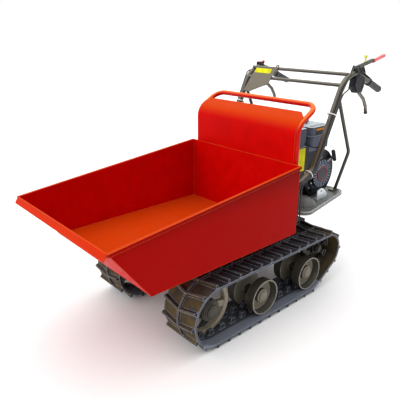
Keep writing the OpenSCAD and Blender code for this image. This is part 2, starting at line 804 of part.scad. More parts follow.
module drive_belt() {
    color("black") centred() slab(pulley_x - v_in, pulley_x + v_in) difference() {
        polygon(belt_outline(v_loop, v_depth));
        polygon(belt_outline(v_loop, 0));
    }
}

module tension_arm() {
    color("silver") centred() {
        slab(arm_x, arm_x + 6) difference() {
            union() {
                translate(arm_pivot) circle(arm_pin_r + 7);
                translate(idle_at) circle(11);
                polygon([arm_pivot + 12 * v_normal, idle_at + 10 * v_normal, idle_at - 10 * v_normal,
                    arm_pivot - 12 * v_normal]);
            }
            translate(arm_pivot) circle(arm_pin_r + run_fit);
        }
        across(pulley_x - 9, pulley_x + 9, idle_at[0], idle_at[1], idle_r);
        across(pulley_x - 11, arm_x + 6, idle_at[0], idle_at[1], 5);
    }
}

module cover_outline(inset) {
    ring = engine_pulley_r + 36 - inset;
    translate([crank_y, crank_z]) circle(ring);
    polygon([[input_y - 74 + inset, bed_z - inset], [crank_y + 41 - inset, bed_z - inset],
        [crank_y + ring, crank_z], [crank_y, crank_z + ring], [crank_y - 62, crank_z + 48 - inset],
        [input_y - 60 + inset, crank_z - 28 - inset]]);
}

cover_x = pulley_x - 31;
module belt_cover() {
    wall = 2;
    color("black") centred() difference() {
        slab(cover_x, pulley_x + 25) cover_outline(0);
        slab(cover_x + wall, pulley_x + 26) cover_outline(wall);
    }
}

// Engine bed: a plate with a rim, a slot for the V-belt
bed_corner = 45;
function bed_points(inset) = rounded([[-bed_front_half + inset, bed_front + inset],
    [bed_front_half - inset, bed_front + inset], [bed_rear_half - inset, bed_back - inset],
    [-bed_rear_half + inset, bed_back - inset]], bed_corner - inset);

module engine_bed() {
    rim = 8;
    rim_low = 13;
    rim_up = 3;
    color("gainsboro") centred() difference() {
        union() {
            translate([0, 0, bed_z - bed_t]) linear_extrude(bed_t) polygon(bed_points(1));
            for (x = [-60, 60])
                block([x - 9, bed_front + 12, bed_z - rim_low + 1], [x + 9, bed_back - 12, bed_z - 1]);
            translate([0, 0, bed_z - rim_low]) linear_extrude(rim_low + rim_up) difference() {
                polygon(bed_points(0));
                polygon(bed_points(rim));
            }
        }
        block([cover_x + 4, input_y - 46, bed_z - 20], [pulley_x + 23, crank_y + 25, bed_z + 20]);
    }
}

module bed_cover() {
    base = 60;
    rise = 40;
    r = (base * base + rise * rise) / (2 * rise);
    color("darkgray") centred() intersection() {
        translate([228, 172, bed_z + rise - r]) sphere(r);
        block([150, 100, bed_z], [300, 240, bed_z + rise + 1]);
    }
}

module anchor_bracket() {
    x = 238;
    y0 = 262;
    color("silver") centred() both_sides() {
        slab(x - 4, x) difference() {
            polygon([[y0, bed_z], [y0 + 78, bed_z], [y0 + 78, bed_z + 16], [y0 + 46, bed_z + 46],
                [y0 + 30, bed_z + 52],
                [y0, bed_z + 44]]);
            translate([y0 + 30, bed_z + 38]) circle(5);
        }
        block([x - 24, y0, bed_z], [x, y0 + 78, bed_z + 4]);
    }
}

// Engine
cyl_x = 30;
head_low = 172;
head_high = 204;
head_half = 55;
fin_half = 59;

module on_cylinder() {
    translate([cyl_x, crank_y, crank_z]) rotate([90 - cylinder_lean, 0, 0]) children();
}

tank_z = bed_z + 252;
top_z = bed_z + 250;
muffler_z = bed_z + 248;
case_r = 88;
foot_half = 110;
foot_t = 14;

module engine_block() {
    fin_t = 4;
    fin_pitch = 78 / fin_count;
    color("dimgray") centred() difference() {
        union() {
            across(block_right, block_left, crank_y, crank_z, case_r);
            block([block_right, crank_y - case_r, bed_z + 8], [block_left, crank_y + case_r, crank_z]);
            block([block_right - 10, crank_y - foot_half, bed_z],
                [block_left - 1, crank_y + foot_half, bed_z + foot_t]);
            across(block_right - 20, block_right + 1, crank_y, crank_z, crank_r + 20);
            on_cylinder() {
                translate([0, 0, 60]) cylinder(r = 44, h = head_low - 58);
                for (k = [0 : fin_count - 1]) translate([-fin_half, -head_half, 92 + k * fin_pitch])
                    cube([2 * fin_half, 2 * head_half, fin_t]);
                block([-head_half, -head_half + 3, head_low], [head_half, head_half - 3, head_high]);
            }
            block([-12, 172, 600], [22, 198, muffler_z]);
            block([40, crank_y - 36, crank_z + 50], [106, crank_y + 36, tank_z]);
            across(arm_x, block_right + 1, arm_pivot[0], arm_pivot[1], arm_pin_r);
        }
        across(block_right - 21, block_right + 10, crank_y, crank_z, crank_r + run_fit);
    }
}

module rocker_cover() {
    half = [50, 45];
    low = head_high + seat_gap;
    function frame(g) = rounded([[-half[0] + g, -half[1] + g], [half[0] - g, -half[1] + g],
        [half[0] - g, half[1] - g], [-half[0] + g, half[1] - g]], 14);
    color("black") centred() on_cylinder() {
        translate([0, 0, low]) linear_extrude(5) polygon(frame(0));
        translate([0, 0, low + 4]) linear_extrude(22) polygon(frame(5));
        for (sx = [-1, 1]) for (sy = [-1, 1]) translate([sx * (half[0] - 6), sy * (half[1] - 6), low + 4])
            cylinder(r = 5, h = 6, $fn = 6);
    }
}

shroud_x = 186;
shroud_r = 112;
switch_at = [crank_y - 68, crank_z - 70];

module fan_shroud() {
    color("midnightblue") centred() {
        slab(block_left + seat_gap, shroud_x) intersection() {
            union() {
                translate([crank_y, crank_z]) circle(shroud_r);
                polygon([[crank_y, crank_z + shroud_r], [crank_y - 112, top_z], [crank_y - 188, top_z],
                    [crank_y - 195, crank_z + 66], [crank_y - 104, crank_z - 38]]);
            }
            translate([crank_y - 220, bed_z + 4]) square([360, 300]);
        }
        across(shroud_x - 1, shroud_x + 4, switch_at[0], switch_at[1], 12);
    }
}

module engine_switch() {
    color("black") centred() {
        across(shroud_x + 4 + free_gap, shroud_x + 9, switch_at[0], switch_at[1], 10);
        block([shroud_x + 8, switch_at[0] - 3, switch_at[1] - 9],
            [shroud_x + 16, switch_at[0] + 3, switch_at[1] + 9]);
    }
}

// Recoil starter: a slotted ring, and a rope guide along the pull
pull_turn = 22;
pull_dir = [0, cos(pull_turn), sin(pull_turn)];
guide_at = [shroud_x + 13, crank_y + 37, crank_z + 47];
guide_len = 26;

module recoil_cover() {
    face = shroud_x + seat_gap;
    ring_x = face + 6;
    color("midnightblue") centred() {
        difference() {
            union() {
                across(face, ring_x, crank_y, crank_z, recoil_r + 14);
                across(ring_x - 1, ring_x + 12, crank_y, crank_z, recoil_r);
            }
            for (k = [0 : recoil_slots - 1]) translate([ring_x + 3, crank_y, crank_z])
                rotate([k * 360 / recoil_slots, 0, 0]) translate([0, recoil_r - 23, -2.4])
                    cube([12, 25, 4.8]);
        }
        across(ring_x + 11, ring_x + 15, crank_y, crank_z, recoil_r - 27);
        rod(guide_at, guide_at + guide_len * pull_dir, 9);
        rod(guide_at - [12, 0, 0], guide_at, 12);
    }
}

module recoil_handle() {
    foot = guide_at + (guide_len + free_gap) * pull_dir;
    side = [0, -pull_dir[2], pull_dir[1]];
    bar_at = foot + 34 * pull_dir;
    color("black") centred() {
        rod(foot, bar_at, 6.5);
        rod(bar_at - 23 * side, bar_at + 23 * side, 9.5);
        for (end = [-23, 23]) translate(bar_at + end * side) sphere(9);
    }
}

function box_points(x0, y0, x1, y1, r) = rounded([[x0, y0], [x1, y0], [x1, y1], [x0, y1]], r);
tank = [28, 262, 182, 404];
tank_h = 74;
cap_at = [76, 330];

module fuel_tank() {
    color("midnightblue") centred() difference() {
        union() {
            translate([0, 0, tank_z + seat_gap]) linear_extrude(tank_h)
                polygon(box_points(tank[0], tank[1], tank[2], tank[3], 18));
            translate([0, 0, tank_z + 30]) linear_extrude(5)
                polygon(box_points(tank[0] - 4, tank[1] - 4, tank[2] + 4, tank[3] + 4, 20));
            translate([cap_at[0], cap_at[1], tank_z + tank_h - 1]) cylinder(r = 22, h = 8);
        }
        for (k = [0 : 3]) translate([tank[2] - 36, tank[1] + 22 + 28 * k, tank_z + tank_h - 6])
            cube([24, 12, 10]);
    }
}

module fuel_cap() {
    grips = 12;
    color("black") centred() translate([cap_at[0], cap_at[1], tank_z + tank_h + 7 + free_gap]) difference() {
        cylinder(r = 28, h = 16);
        for (k = [0 : grips - 1]) rotate(k * 360 / grips) translate([30, 0, -1]) cylinder(r = 4.5, h = 18);
    }
}

module air_cleaner() {
    color("black") centred() {
        translate([0, 0, top_z + seat_gap]) linear_extrude(24) polygon(box_points(68, 145, 179, 223, 12));
        translate([0, 0, top_z + 20]) linear_extrude(60) polygon(box_points(64, 141, 183, 227, 16));
        translate([124, 184, top_z + 79]) cylinder(r = 9, h = 7);
    }
}

module muffler() {
    color("gray") centred() difference() {
        union() {
            translate([0, 0, muffler_z + seat_gap]) linear_extrude(84)
                polygon(box_points(-92, 142, 46, 236, 20));
            translate([0, 0, muffler_z + 40]) linear_extrude(4) polygon(box_points(-96, 138, 50, 240, 22));
            across(-114, -90, 190, muffler_z + 44, 12);
        }
        across(-115, -80, 190, muffler_z + 44, 10);
        for (k = [0 : 5]) block([-80 + 20 * k, 130, muffler_z + 54], [-70 + 20 * k, 145, muffler_z + 74]);
    }
}

choke_at = [149, bed_z + 206];

module carburettor() {
    from = cyl_x + fin_half + seat_gap;
    to = block_left - seat_gap;
    throat = [185, bed_z + 200];
    color("silver") centred() {
        across(from, to, throat[0], throat[1], 22);
        block([from + 4, throat[0] - 14, throat[1] - 40], [to - 4, throat[0] + 14, throat[1]]);
        slab(to - 6, to) union() {
            translate(choke_at) circle(8);
            polygon([choke_at + [0, 8], choke_at - [0, 8], throat - [0, 16], throat + [0, 16]]);
        }
        across(to - 20, to - 1, choke_at[0], choke_at[1], 4);
    }
}

module choke_lever() {
    x = block_left - 8;
    tip = choke_at + [-40, 16];
    color("black") centred() difference() {
        union() {
            across(x - 8, x, choke_at[0], choke_at[1], 9);
            slab(x - 7, x - 1) polygon([choke_at + [2, 7], choke_at - [3, 7], tip - [2, 4], tip + [2, 4]]);
            across(x - 9, x, tip[0], tip[1], 7);
        }
        across(x - 20, x + 20, choke_at[0], choke_at[1], 4 + run_fit);
    }
}

module oil_cap() {
    at = [cyl_x, crank_y + case_r + free_gap, crank_z - 60];
    color("black") centred() translate(at) rotate([-90, 0, 0]) {
        cylinder(r = 14, h = 12);
        translate([-4, -13, 11]) cube([8, 26, 8]);
    }
}

module engine_bolts() {
    head_r = 9;
    color("silver") centred() for (x = [block_right + 4, block_left - 14]) for (side = [-1, 1])
        translate([x, crank_y + side * (case_r + head_r + 2), bed_z + foot_t + seat_gap]) {
            cylinder(r = head_r + 1, h = 2);
            translate([0, 0, 1]) cylinder(r = head_r, h = 8, $fn = 6);
        }
}

// Handlebars, in the plane x = bar_half, mirrored for the right one
bar_r = bar_d / 2;
flange_t = 6;
post_out = rail_mid + bar_post / 2;
low_bend = 45;
elbow_bend = 60;
bar_stop = [grip_back, grip_z] - 5 * bar_down;
function bar_height(z) = [elbow_back, elbow_z] + (z - elbow_z) / bar_up[1] * bar_up;
lower_cross = bar_height(bend_z - 74);
upper_cross = [bend_back + 2, bend_z - 31];
function at_bar(p) = [bar_half, p[0], p[1]];

module bar_solid(grow) {
    points = [[post_out + flange_t - 1, bar_low_y, bar_low_z], [bar_half, bar_low_y, bar_low_z],
        at_bar([elbow_back, elbow_z]), at_bar([bend_back, bend_z]), at_bar(bar_stop)];
    bent_tube(points, [low_bend, elbow_bend, top_bend], bar_r + grow);
}

module handlebar() {
    bar_solid(0);
    block([post_out + seat_gap, bar_low_y - 26, bar_low_z - 21],
        [post_out + flange_t, bar_low_y + 26, bar_low_z + 21]);
}

module left_handlebar() {
    color("darkslategray") centred() handlebar();
}

module right_handlebar() {
    color("darkslategray") centred() mirror([1, 0, 0]) handlebar();
}

module cross_tubes() {
    color("darkslategray") centred() difference() {
        for (p = [lower_cross, upper_cross]) across(-bar_half, bar_half, p[0], p[1], brace_d / 2);
        both_sides() bar_solid(seat_gap);
    }
}

brace_top = bar_height(bend_z - 115);
brace_knee = [elbow_back + 275, elbow_z + 38];
brace_bend = 60;
brace_foot = [bed_rear_half - 36, bed_back - 29];
brace_plate = [[-22, -22], [10, 10]];

module braces() {
    color("darkslategray") centred() both_sides() difference() {
        union() {
            bent_tube([at_bar(brace_top), at_bar(brace_knee), concat(brace_foot, bed_z + 3)],
                [brace_bend], brace_d / 2);
            block(concat(brace_foot + brace_plate[0], bed_z), concat(brace_foot + brace_plate[1], bed_z + 6));
        }
        rod(at_bar([elbow_back, elbow_z]), at_bar([bend_back, bend_z]), bar_r + seat_gap);
    }
}

module grips() {
    r = grip_d / 2;
    bore = bar_r + seat_gap;
    end = grip_len;
    color("dimgray") centred() both_sides()
        along(at_bar([grip_back, grip_z] - grip_len * bar_down), at_bar([grip_back, grip_z])) rotate_extrude()
            polygon([[bore, 0], [r + 3, 0], [r + 3, 5], [r, 8], [r - 0.8, end / 2], [r, end - 2],
                [r - 2, end], [0, end], [0, end - 4], [bore, end - 4]]);
}

// Control plate in front of the cross tubes, beside the right bar
plate_left = bar_half - 30;
plate_right = bar_half - 157;
plate_high = 48;
plate_low = -43;

module control_plate() {
    gap = brace_d / 2 + seat_gap;
    climb = upper_cross - lower_cross;
    tab = 9;
    color("darkslategray") centred() translate([0, lower_cross[0], lower_cross[1]])
        rotate([atan2(climb[1], climb[0]), 0, 0]) translate([0, 0, gap]) linear_extrude(3) difference() {
            polygon([[-plate_left, plate_high], [-plate_right - tab, plate_high],
                [-plate_right - tab, plate_high + 19], [-plate_right - 5, plate_high + 23],
                [-plate_right + 5, plate_high + 23], [-plate_right + tab, plate_high + 19],
                [-plate_right + tab, plate_high + 2], [-plate_right, plate_high - 7],
                [-plate_right, plate_low],
                [-plate_right - 24, plate_low - 10], [-plate_left + 38, plate_low - 49],
                [-plate_left, plate_low - 47]]);
            translate([-plate_right, plate_high + 12]) circle(5);
        }
}

// Lever housings under the bars, and the base of the throttle lever on the right bar
lever_pin = bar_local(51, -47);
lever_pin_r = 4;
housing_in = bar_half - 12;
housing_out = bar_half + 13;
throttle_at = top_centre + [-6, top_bend + bar_r + 6.3];
housing_mouth = bar_local(0, -64);
throttle_pin_r = 3.5;

module lever_housings() {
    color("black") centred() {
        both_sides() difference() {
            slab(housing_in, housing_out)
                polygon(concat([housing_mouth],
                    bar_spots([[36, -80], [79, -62], [80, -27], [68, 0], [10, 0], [-10, -21]])));
            bar_solid(seat_gap);
            slab(bar_half - 5, bar_half + 7)
                polygon(bar_spots([[44, -93], [115, -64], [95, -17], [25, -46]]));
            across(housing_in - 1, housing_out + 1, lever_pin[0], lever_pin[1], lever_pin_r + run_fit);
        }
        mirror([1, 0, 0]) difference() {
            slab(bar_half - 12, bar_half + 12) translate(throttle_at - [14, 37]) square([30, 43]);
            bar_solid(seat_gap);
            slab(bar_half - 6, bar_half + 6) translate(throttle_at - [20, 6]) square([40, 16]);
            across(bar_half - 13, bar_half + 13, throttle_at[0], throttle_at[1], throttle_pin_r + run_fit);
        }
    }
}

// A flat bar through points, with round corners
module strip(points, half) {
    last = len(points) - 1;
    for (p = points) translate(p) circle(half);
    for (i = [0 : last - 1]) {
        u = unit(points[i + 1] - points[i]);
        w = (half - 0.3) * [-u[1], u[0]];
        polygon([points[i] + w, points[i] - w, points[i + 1] - w, points[i + 1] + w]);
    }
}

module steering_lever() {
    path = concat([lever_pin], bar_spots([[79, -68], [130, -80], [165, -102], [185, -126]]));
    slab(bar_half - 3.5, bar_half + 5.5) strip(path, 7);
    translate(at_bar(path[4]) + [1, 0, 0]) sphere(9);
    across(bar_half - 4, bar_half + 6, lever_pin[0], lever_pin[1], 9);
    across(housing_in + 1, housing_out - 1, lever_pin[0], lever_pin[1], lever_pin_r);
}

module left_steering_lever() {
    color("silver") centred() steering_lever();
}

module right_steering_lever() {
    color("silver") centred() mirror([1, 0, 0]) steering_lever();
}

// Clutch lever over the left grip, between an ear and a cheek on the bar
pin_spot = [-8, 17];
clutch_pin = bar_local(pin_spot[0], pin_spot[1]);
clutch_pin_r = 4;
channel = bar_half + 9;
channel_t = 3;
channel_in = 2 * bar_half - channel - channel_t;

module clutch_bracket() {
    long = 112;
    fall = atan2(bar_down[1], bar_down[0]);
    color("black") centred() difference() {
        translate([0, bar_start[0], bar_start[1]]) rotate([fall, 0, 0]) {
            slab(channel, channel + channel_t) union() {
                translate(pin_spot) circle(clutch_pin_r + 6);
                polygon([[-20, -8], [40, 4], [40, bar_r + 3], [2, 25], [-17, 21]]);
            }
            slab(channel_in, channel_in + channel_t) union() {
                translate(pin_spot) circle(clutch_pin_r + 6);
                polygon([[-20, -8], [100, 4], [104, 24], [88, 40], [68, 50], [50, 40], [2, 25], [-17, 21]]);
            }
            block([channel_in, 24, bar_r + seat_gap], [channel + channel_t, long, bar_r + 3]);
        }
        bar_solid(seat_gap);
        across(channel_in - 1, channel + channel_t + 1, clutch_pin[0], clutch_pin[1], clutch_pin_r + run_fit);
    }
}

lever_half = 6;
button_at = bar_local(52.8, 57.7);

module clutch_lever() {
    end = bar_local(104, 91);
    axis = unit(red_to - red_from);
    color("silver") centred() difference() {
        union() {
            slab(bar_half - lever_half, bar_half + lever_half) strip([clutch_pin, end], 7.5);
            across(channel_in, channel + channel_t, clutch_pin[0], clutch_pin[1], clutch_pin_r);
            rod(at_bar(red_from - 6 * axis), at_bar(red_to - 8 * axis), 4.5);
        }
        translate(at_bar(button_at)) translate([0, 0, -15]) cylinder(r = 3 + run_fit, h = 30);
    }
}

module clutch_grip() {
    color("crimson") centred() along(at_bar(red_from + 4 * unit(red_to - red_from)), at_bar(red_to)) {
        len = norm(red_to - red_from) - 4;
        bore = 4.7;
        rotate_extrude() polygon([[bore, 0], [red_r + 1, 0], [red_r + 1, 4], [red_r - 1, 7], [red_r, len - 4],
            [red_r - 1, len], [0, len], [0, len - 3], [bore, len - 3]]);
    }
}

module lock_button() {
    color("gold") centred() translate(at_bar(button_at)) {
        translate([0, 0, -6]) cylinder(r = 3, h = 31);
        translate([0, 0, 24]) cylinder(r = 6, h = 11);
    }
}

module throttle_lever() {
    knob = throttle_at + [24, 4];
    color("red") centred() mirror([1, 0, 0]) {
        across(bar_half - 11, bar_half + 11, throttle_at[0], throttle_at[1], throttle_pin_r);
        across(bar_half - 5, bar_half + 5, throttle_at[0], throttle_at[1], 5.5);
        rod(at_bar(throttle_at), at_bar(knob), 3);
        translate(at_bar(knob)) sphere(8.5);
    }
}

// Cables clipped along the outer side of each bar, one a little to the rear and one to the front
cable_r = 3;
clip = bar_r + cable_r + 0.6;
clip_turn = 15;
clip_x = bar_half + clip * cos(clip_turn);
clip_off = clip * sin(clip_turn);
rear_side = [bar_up[1], -bar_up[0]];
low_dir = unit([elbow_back - bar_low_y, elbow_z - bar_low_z]);
low_side = [low_dir[1], -low_dir[0]];
elbow_miter = (rear_side + low_side) / (1 + rear_side * low_side);
function beside_bar(z, off) = let (p = bar_height(z) + off * rear_side) [clip_x, p[0], p[1]];
function beside_elbow(off) = let (p = [elbow_back, elbow_z] + off * elbow_miter) [clip_x, p[0], p[1]];
function beside_low(y, off) =
    let (p = [elbow_back, elbow_z] + (y - elbow_back) / low_dir[0] * low_dir + off * low_side)
    [clip_x, p[0], p[1]];

// Steering cable: from the lever housing, down the bar, in front of the bed, to the gearbox
module steering_cable() {
    from = at_bar(housing_mouth - [seat_gap, 4]);
    low = beside_low(bed_front - 7, clip_off);
    under_z = bed_z - 30;
    entry_z = rail_top + 22;
    end_y = sprocket_y - 72 - seat_gap;
    bent_tube([from, beside_bar(bend_z - 109, clip_off), beside_elbow(clip_off), low,
        [low[0], low[1], under_z],
        [44, bed_front - 2, under_z], [44, 132, entry_z], [44, end_y, entry_z]],
        [40, 50, 24, 20, 20, 20], cable_r);
    rod(from, from - [0, 14, 0], cable_r + 2);
}

module clutch_cable() {
    low = beside_low(bed_front - 19, -clip_off);
    cross_z = bed_z - 56;
    from = bar_local(0, 2);
    over = bar_local(-46, 19);
    bent_tube([[clip_x + 1, from[0], from[1]], [clip_x + 1, over[0], over[1]],
        beside_bar(bend_z - 100, -clip_off), beside_elbow(-clip_off), low, [low[0], low[1], cross_z + 10],
        [170, bed_front - 2, cross_z],
        [-92, bed_front - 2, cross_z], [-92, input_y - 42, cross_z + 14], [-92, input_y - 38, bed_z - 6]],
        [18, 40, 50, 24, 20, 30, 24, 14], cable_r);
}

module throttle_cable() {
    run_z = bed_z + 40;
    run_y = bed_front + 23;
    end_x = block_left - 15;
    low = beside_low(run_y, -clip_off) + [8, 0, 0];
    from = throttle_at - [8, 27];
    bent_tube([[clip_x, from[0], from[1]], beside_bar(bend_z - 51, -clip_off), beside_elbow(-clip_off), low,
        [low[0], run_y, run_z],
        [-end_x, run_y, run_z], [-end_x, 182, run_z + 50], [-end_x, 182, bed_z + 160 - seat_gap]],
        [30, 50, 20, 20, 20, 20], cable_r);
}

module control_cables() {
    color("black") centred() {
        both_sides() steering_cable();
        clutch_cable();
        mirror([1, 0, 0]) throttle_cable();
    }
}

// Ties round each bar and its cables, with one more below the left elbow
tie_up = 227;
tie_low = 30;

module tie(at, dir) {
    in_r = clip + cable_r + 0.2;
    translate(at_bar(at)) rotate([-atan2(dir[0], dir[1]), 0, 0]) difference() {
        cylinder(r = in_r + 1.6, h = 5);
        translate([0, 0, -1]) cylinder(r = in_r, h = 7);
    }
}

module cable_ties() {
    color("white") centred() {
        both_sides() tie(bar_height(elbow_z + tie_up), bar_up);
        tie([elbow_back, elbow_z] - tie_low * low_dir, low_dir);
    }
}

main_frame();
wheel_axles();
tension_screws();
skip_rests();
left_track();
right_track();
gearbox();
left_sprocket();
right_sprocket();
left_drive_shaft();
right_drive_shaft();
left_idler();
right_idler();
left_front_roller();
left_rear_roller();
right_front_roller();
right_rear_roller();
skip();
guard_panel();
guard_tube();
tip_pins();
latch_lever();
engine_bed();
bed_cover();
anchor_bracket();
engine_block();
rocker_cover();
fan_shroud();
recoil_cover();
recoil_handle();
fuel_tank();
fuel_cap();
air_cleaner();
muffler();
carburettor();
choke_lever();
engine_switch();
oil_cap();
engine_bolts();
belt_cover();
engine_pulley();
gearbox_pulley();
drive_belt();
tension_arm();
left_handlebar();
right_handlebar();
cross_tubes();
braces();
grips();
control_plate();
lever_housings();
left_steering_lever();
right_steering_lever();
clutch_bracket();
clutch_lever();
clutch_grip();
lock_button();
throttle_lever();
control_cables();
cable_ties();
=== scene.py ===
"""Finishes and small trim of a tracked power carrier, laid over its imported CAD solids."""

import math

import bmesh
import bpy
from mathutils import Matrix, Vector


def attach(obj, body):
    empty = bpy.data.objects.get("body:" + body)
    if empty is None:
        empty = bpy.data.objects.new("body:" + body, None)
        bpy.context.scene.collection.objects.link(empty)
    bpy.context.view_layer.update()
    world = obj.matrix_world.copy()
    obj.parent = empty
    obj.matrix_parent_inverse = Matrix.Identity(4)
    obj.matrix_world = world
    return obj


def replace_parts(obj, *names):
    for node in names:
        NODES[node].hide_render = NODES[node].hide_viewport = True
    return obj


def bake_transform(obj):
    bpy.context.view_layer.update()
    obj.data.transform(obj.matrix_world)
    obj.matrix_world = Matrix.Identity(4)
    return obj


bl_info = {
    "name": "Tracked carrier finishes",
    "version": (1, 0, 0),
    "blender": (4, 5, 0),
    "location": "View3D > Sidebar > Carrier",
    "description": "Paints the carrier's solids and adds its plates, grips, lids, welds and rope",
    "category": "Object",
}

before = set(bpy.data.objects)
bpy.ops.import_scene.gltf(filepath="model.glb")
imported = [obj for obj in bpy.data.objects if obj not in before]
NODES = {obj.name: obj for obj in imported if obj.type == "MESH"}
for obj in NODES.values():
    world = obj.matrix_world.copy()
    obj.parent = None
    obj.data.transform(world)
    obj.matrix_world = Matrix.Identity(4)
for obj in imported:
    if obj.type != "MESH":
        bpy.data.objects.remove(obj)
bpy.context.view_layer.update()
SIDES = (1, -1)


def colour(label, description, default):
    """A colour that a user may change."""
    return bpy.props.FloatVectorProperty(
        name=label, description=description, default=default, subtype="COLOR", size=3, min=0, max=1)


def length(label, description, default, low, high):
    """A length that a user may change within limits."""
    return bpy.props.FloatProperty(
        name=label, description=description, default=default, min=low, max=high,
        subtype="DISTANCE", unit="LENGTH")


def turn(label, description, degrees):
    """An angle that a user may change."""
    return bpy.props.FloatProperty(
        name=label, description=description, default=math.radians(degrees), subtype="ANGLE")


def share(label, description, default):
    """An amount from none to all."""
    return bpy.props.FloatProperty(
        name=label, description=description, default=default, min=0, max=1, subtype="FACTOR")


def strength(label, description, default):
    """The strength of a light."""
    return bpy.props.FloatProperty(
        name=label, description=description, default=default, min=0, max=4)


class CarrierColours(bpy.types.PropertyGroup):
    """Colours of the paints, rubbers and plastics, and of painted light and shade on them, in
    linear light.
    """

    skip_red: colour("Skip red", "Paint on the walls of the skip", (0.54, 0.0012, 0.0004))
    # Painted light: the skip red as it shows where lit from above, on faces that look up
    skip_lit_orange: colour(
        "Skip orange", "The same paint where it looks up and fades", (0.56, 0.042, 0.0005))
    # Painted shade on the skip's outer sides, deepest as a painted shadow below the rim
    skip_side_shade: colour("Skip side", "Duller paint on its outer sides", (0.355, 0.0016, 0.0004))
    # Painted highlight along the skip's edges, and a little darker along the guard tube's top
    skip_edge_highlight: colour("Skip edge", "Thin paint along the skip's edges", (0.95, 0.17, 0.02))
    tube_olive: colour("Tube olive", "Paint on the handlebars and braces", (0.042, 0.036, 0.026))
    # Painted light: the tube paint as it shows where lit from above, on faces that look up
    tube_lit: colour("Tube lit", "The same paint where it looks up", (0.150, 0.130, 0.086))
    frame_black: colour("Frame black", "Paint on the chassis", (0.009, 0.0085, 0.008))
    bed_grey: colour("Bed grey", "Paint on the engine bed", (0.098, 0.108, 0.100))
    wheel_grey: colour("Wheel grey", "Paint on the rollers", (0.105, 0.093, 0.068))
    idler_beige: colour("Idler beige", "Dusty paint on the idlers", (0.31, 0.27, 0.185))
    rubber: colour("Track rubber", "Moulded rubber of the tracks", (0.022, 0.022, 0.025))
    # Painted highlight along the tracks' edges, and a fainter one on the belts' outer flanks
    rubber_edge_highlight: colour("Rubber edge", "Rubbed edges of the tracks", (0.50, 0.55, 0.68))
    # Painted sheen on the up-facing inner face of the tracks' lower run
    rubber_inner_sheen: colour(
        "Rubber inside", "Inner face of the tracks' lower run", (0.235, 0.26, 0.33))
    soil: colour("Soil", "Dry soil on the ends of the tracks", (0.085, 0.056, 0.014))
    soft_black: colour("Grip rubber", "Rubber of the grips and cables", (0.050, 0.053, 0.056))
    navy: colour("Engine navy", "Enamel on the shroud", (0.010, 0.011, 0.016))
    blue_grey: colour(
        "Engine blue-grey", "Enamel on the tank, air cleaner and starter", (0.082, 0.094, 0.128))
    black: colour("Moulded black", "Black plastic and enamel", (0.010, 0.011, 0.016))
    lever_red: colour("Lever red", "Red plastic of the grip and knob", (0.80, 0.14, 0.15))
    plate_yellow: colour("Plate yellow", "Blank plates and the lock button", (0.64, 0.62, 0.002))
    band_orange: colour("Band orange", "Blank band on the tank", (0.62, 0.20, 0.01))
    nylon: colour("Nylon", "Cable ties", (0.80, 0.80, 0.76))


class CarrierWear(bpy.types.PropertyGroup):
    """How used the carrier looks."""

    edges: share("Edge wear", "Paint rubbed off along edges", 0.35)
    dust: share("Dust", "Dust on faces that look up", 0.10)
    scratches: share("Scratches", "Scratches in the floor of the skip", 0.25)


class CarrierSizes(bpy.types.PropertyGroup):
    """Sizes of the trim."""

    plate_thick: length("Plate", "Thickness of the blank plates", 0.0008, 0.0003, 0.003)
    rope: length("Rope", "Thickness of the starter rope", 0.004, 0.002, 0.006)
    bead: length("Weld bead", "Half the width of a weld bead", 0.0032, 0.001, 0.006)
    grip_ribs: bpy.props.IntProperty(
        name="Grip ribs", description="Ribs along each grip", default=18, min=8, max=30)


class CarrierStage(bpy.types.PropertyGroup):
    """Floor, light and camera."""

    floor_grey: colour("Floor", "Colour of the floor", (0.96, 0.96, 0.96))
    floor_half: length("Floor reach", "Half the floor's side", 14.0, 2.0, 40.0)
    sky: strength("Sky", "Strength of the light beyond the carrier", 1.0)
    near_sky: strength("Near sky", "Strength of the light on the camera's side", 0.4)
    camera_at: bpy.props.FloatVectorProperty(
        name="Camera", description="Where the camera stands", default=(1.4011, -1.3619, 1.1521),
        subtype="TRANSLATION", unit="LENGTH")
    camera_turn: turn("Turn", "Camera's turn from the front", 48.44)
    camera_fall: turn("Fall", "How far the camera looks down", 20.29)
    lens: bpy.props.FloatProperty(
        name="Lens", description="Focal length", default=42.35, min=10, max=200, unit="CAMERA")


# Shader nodes


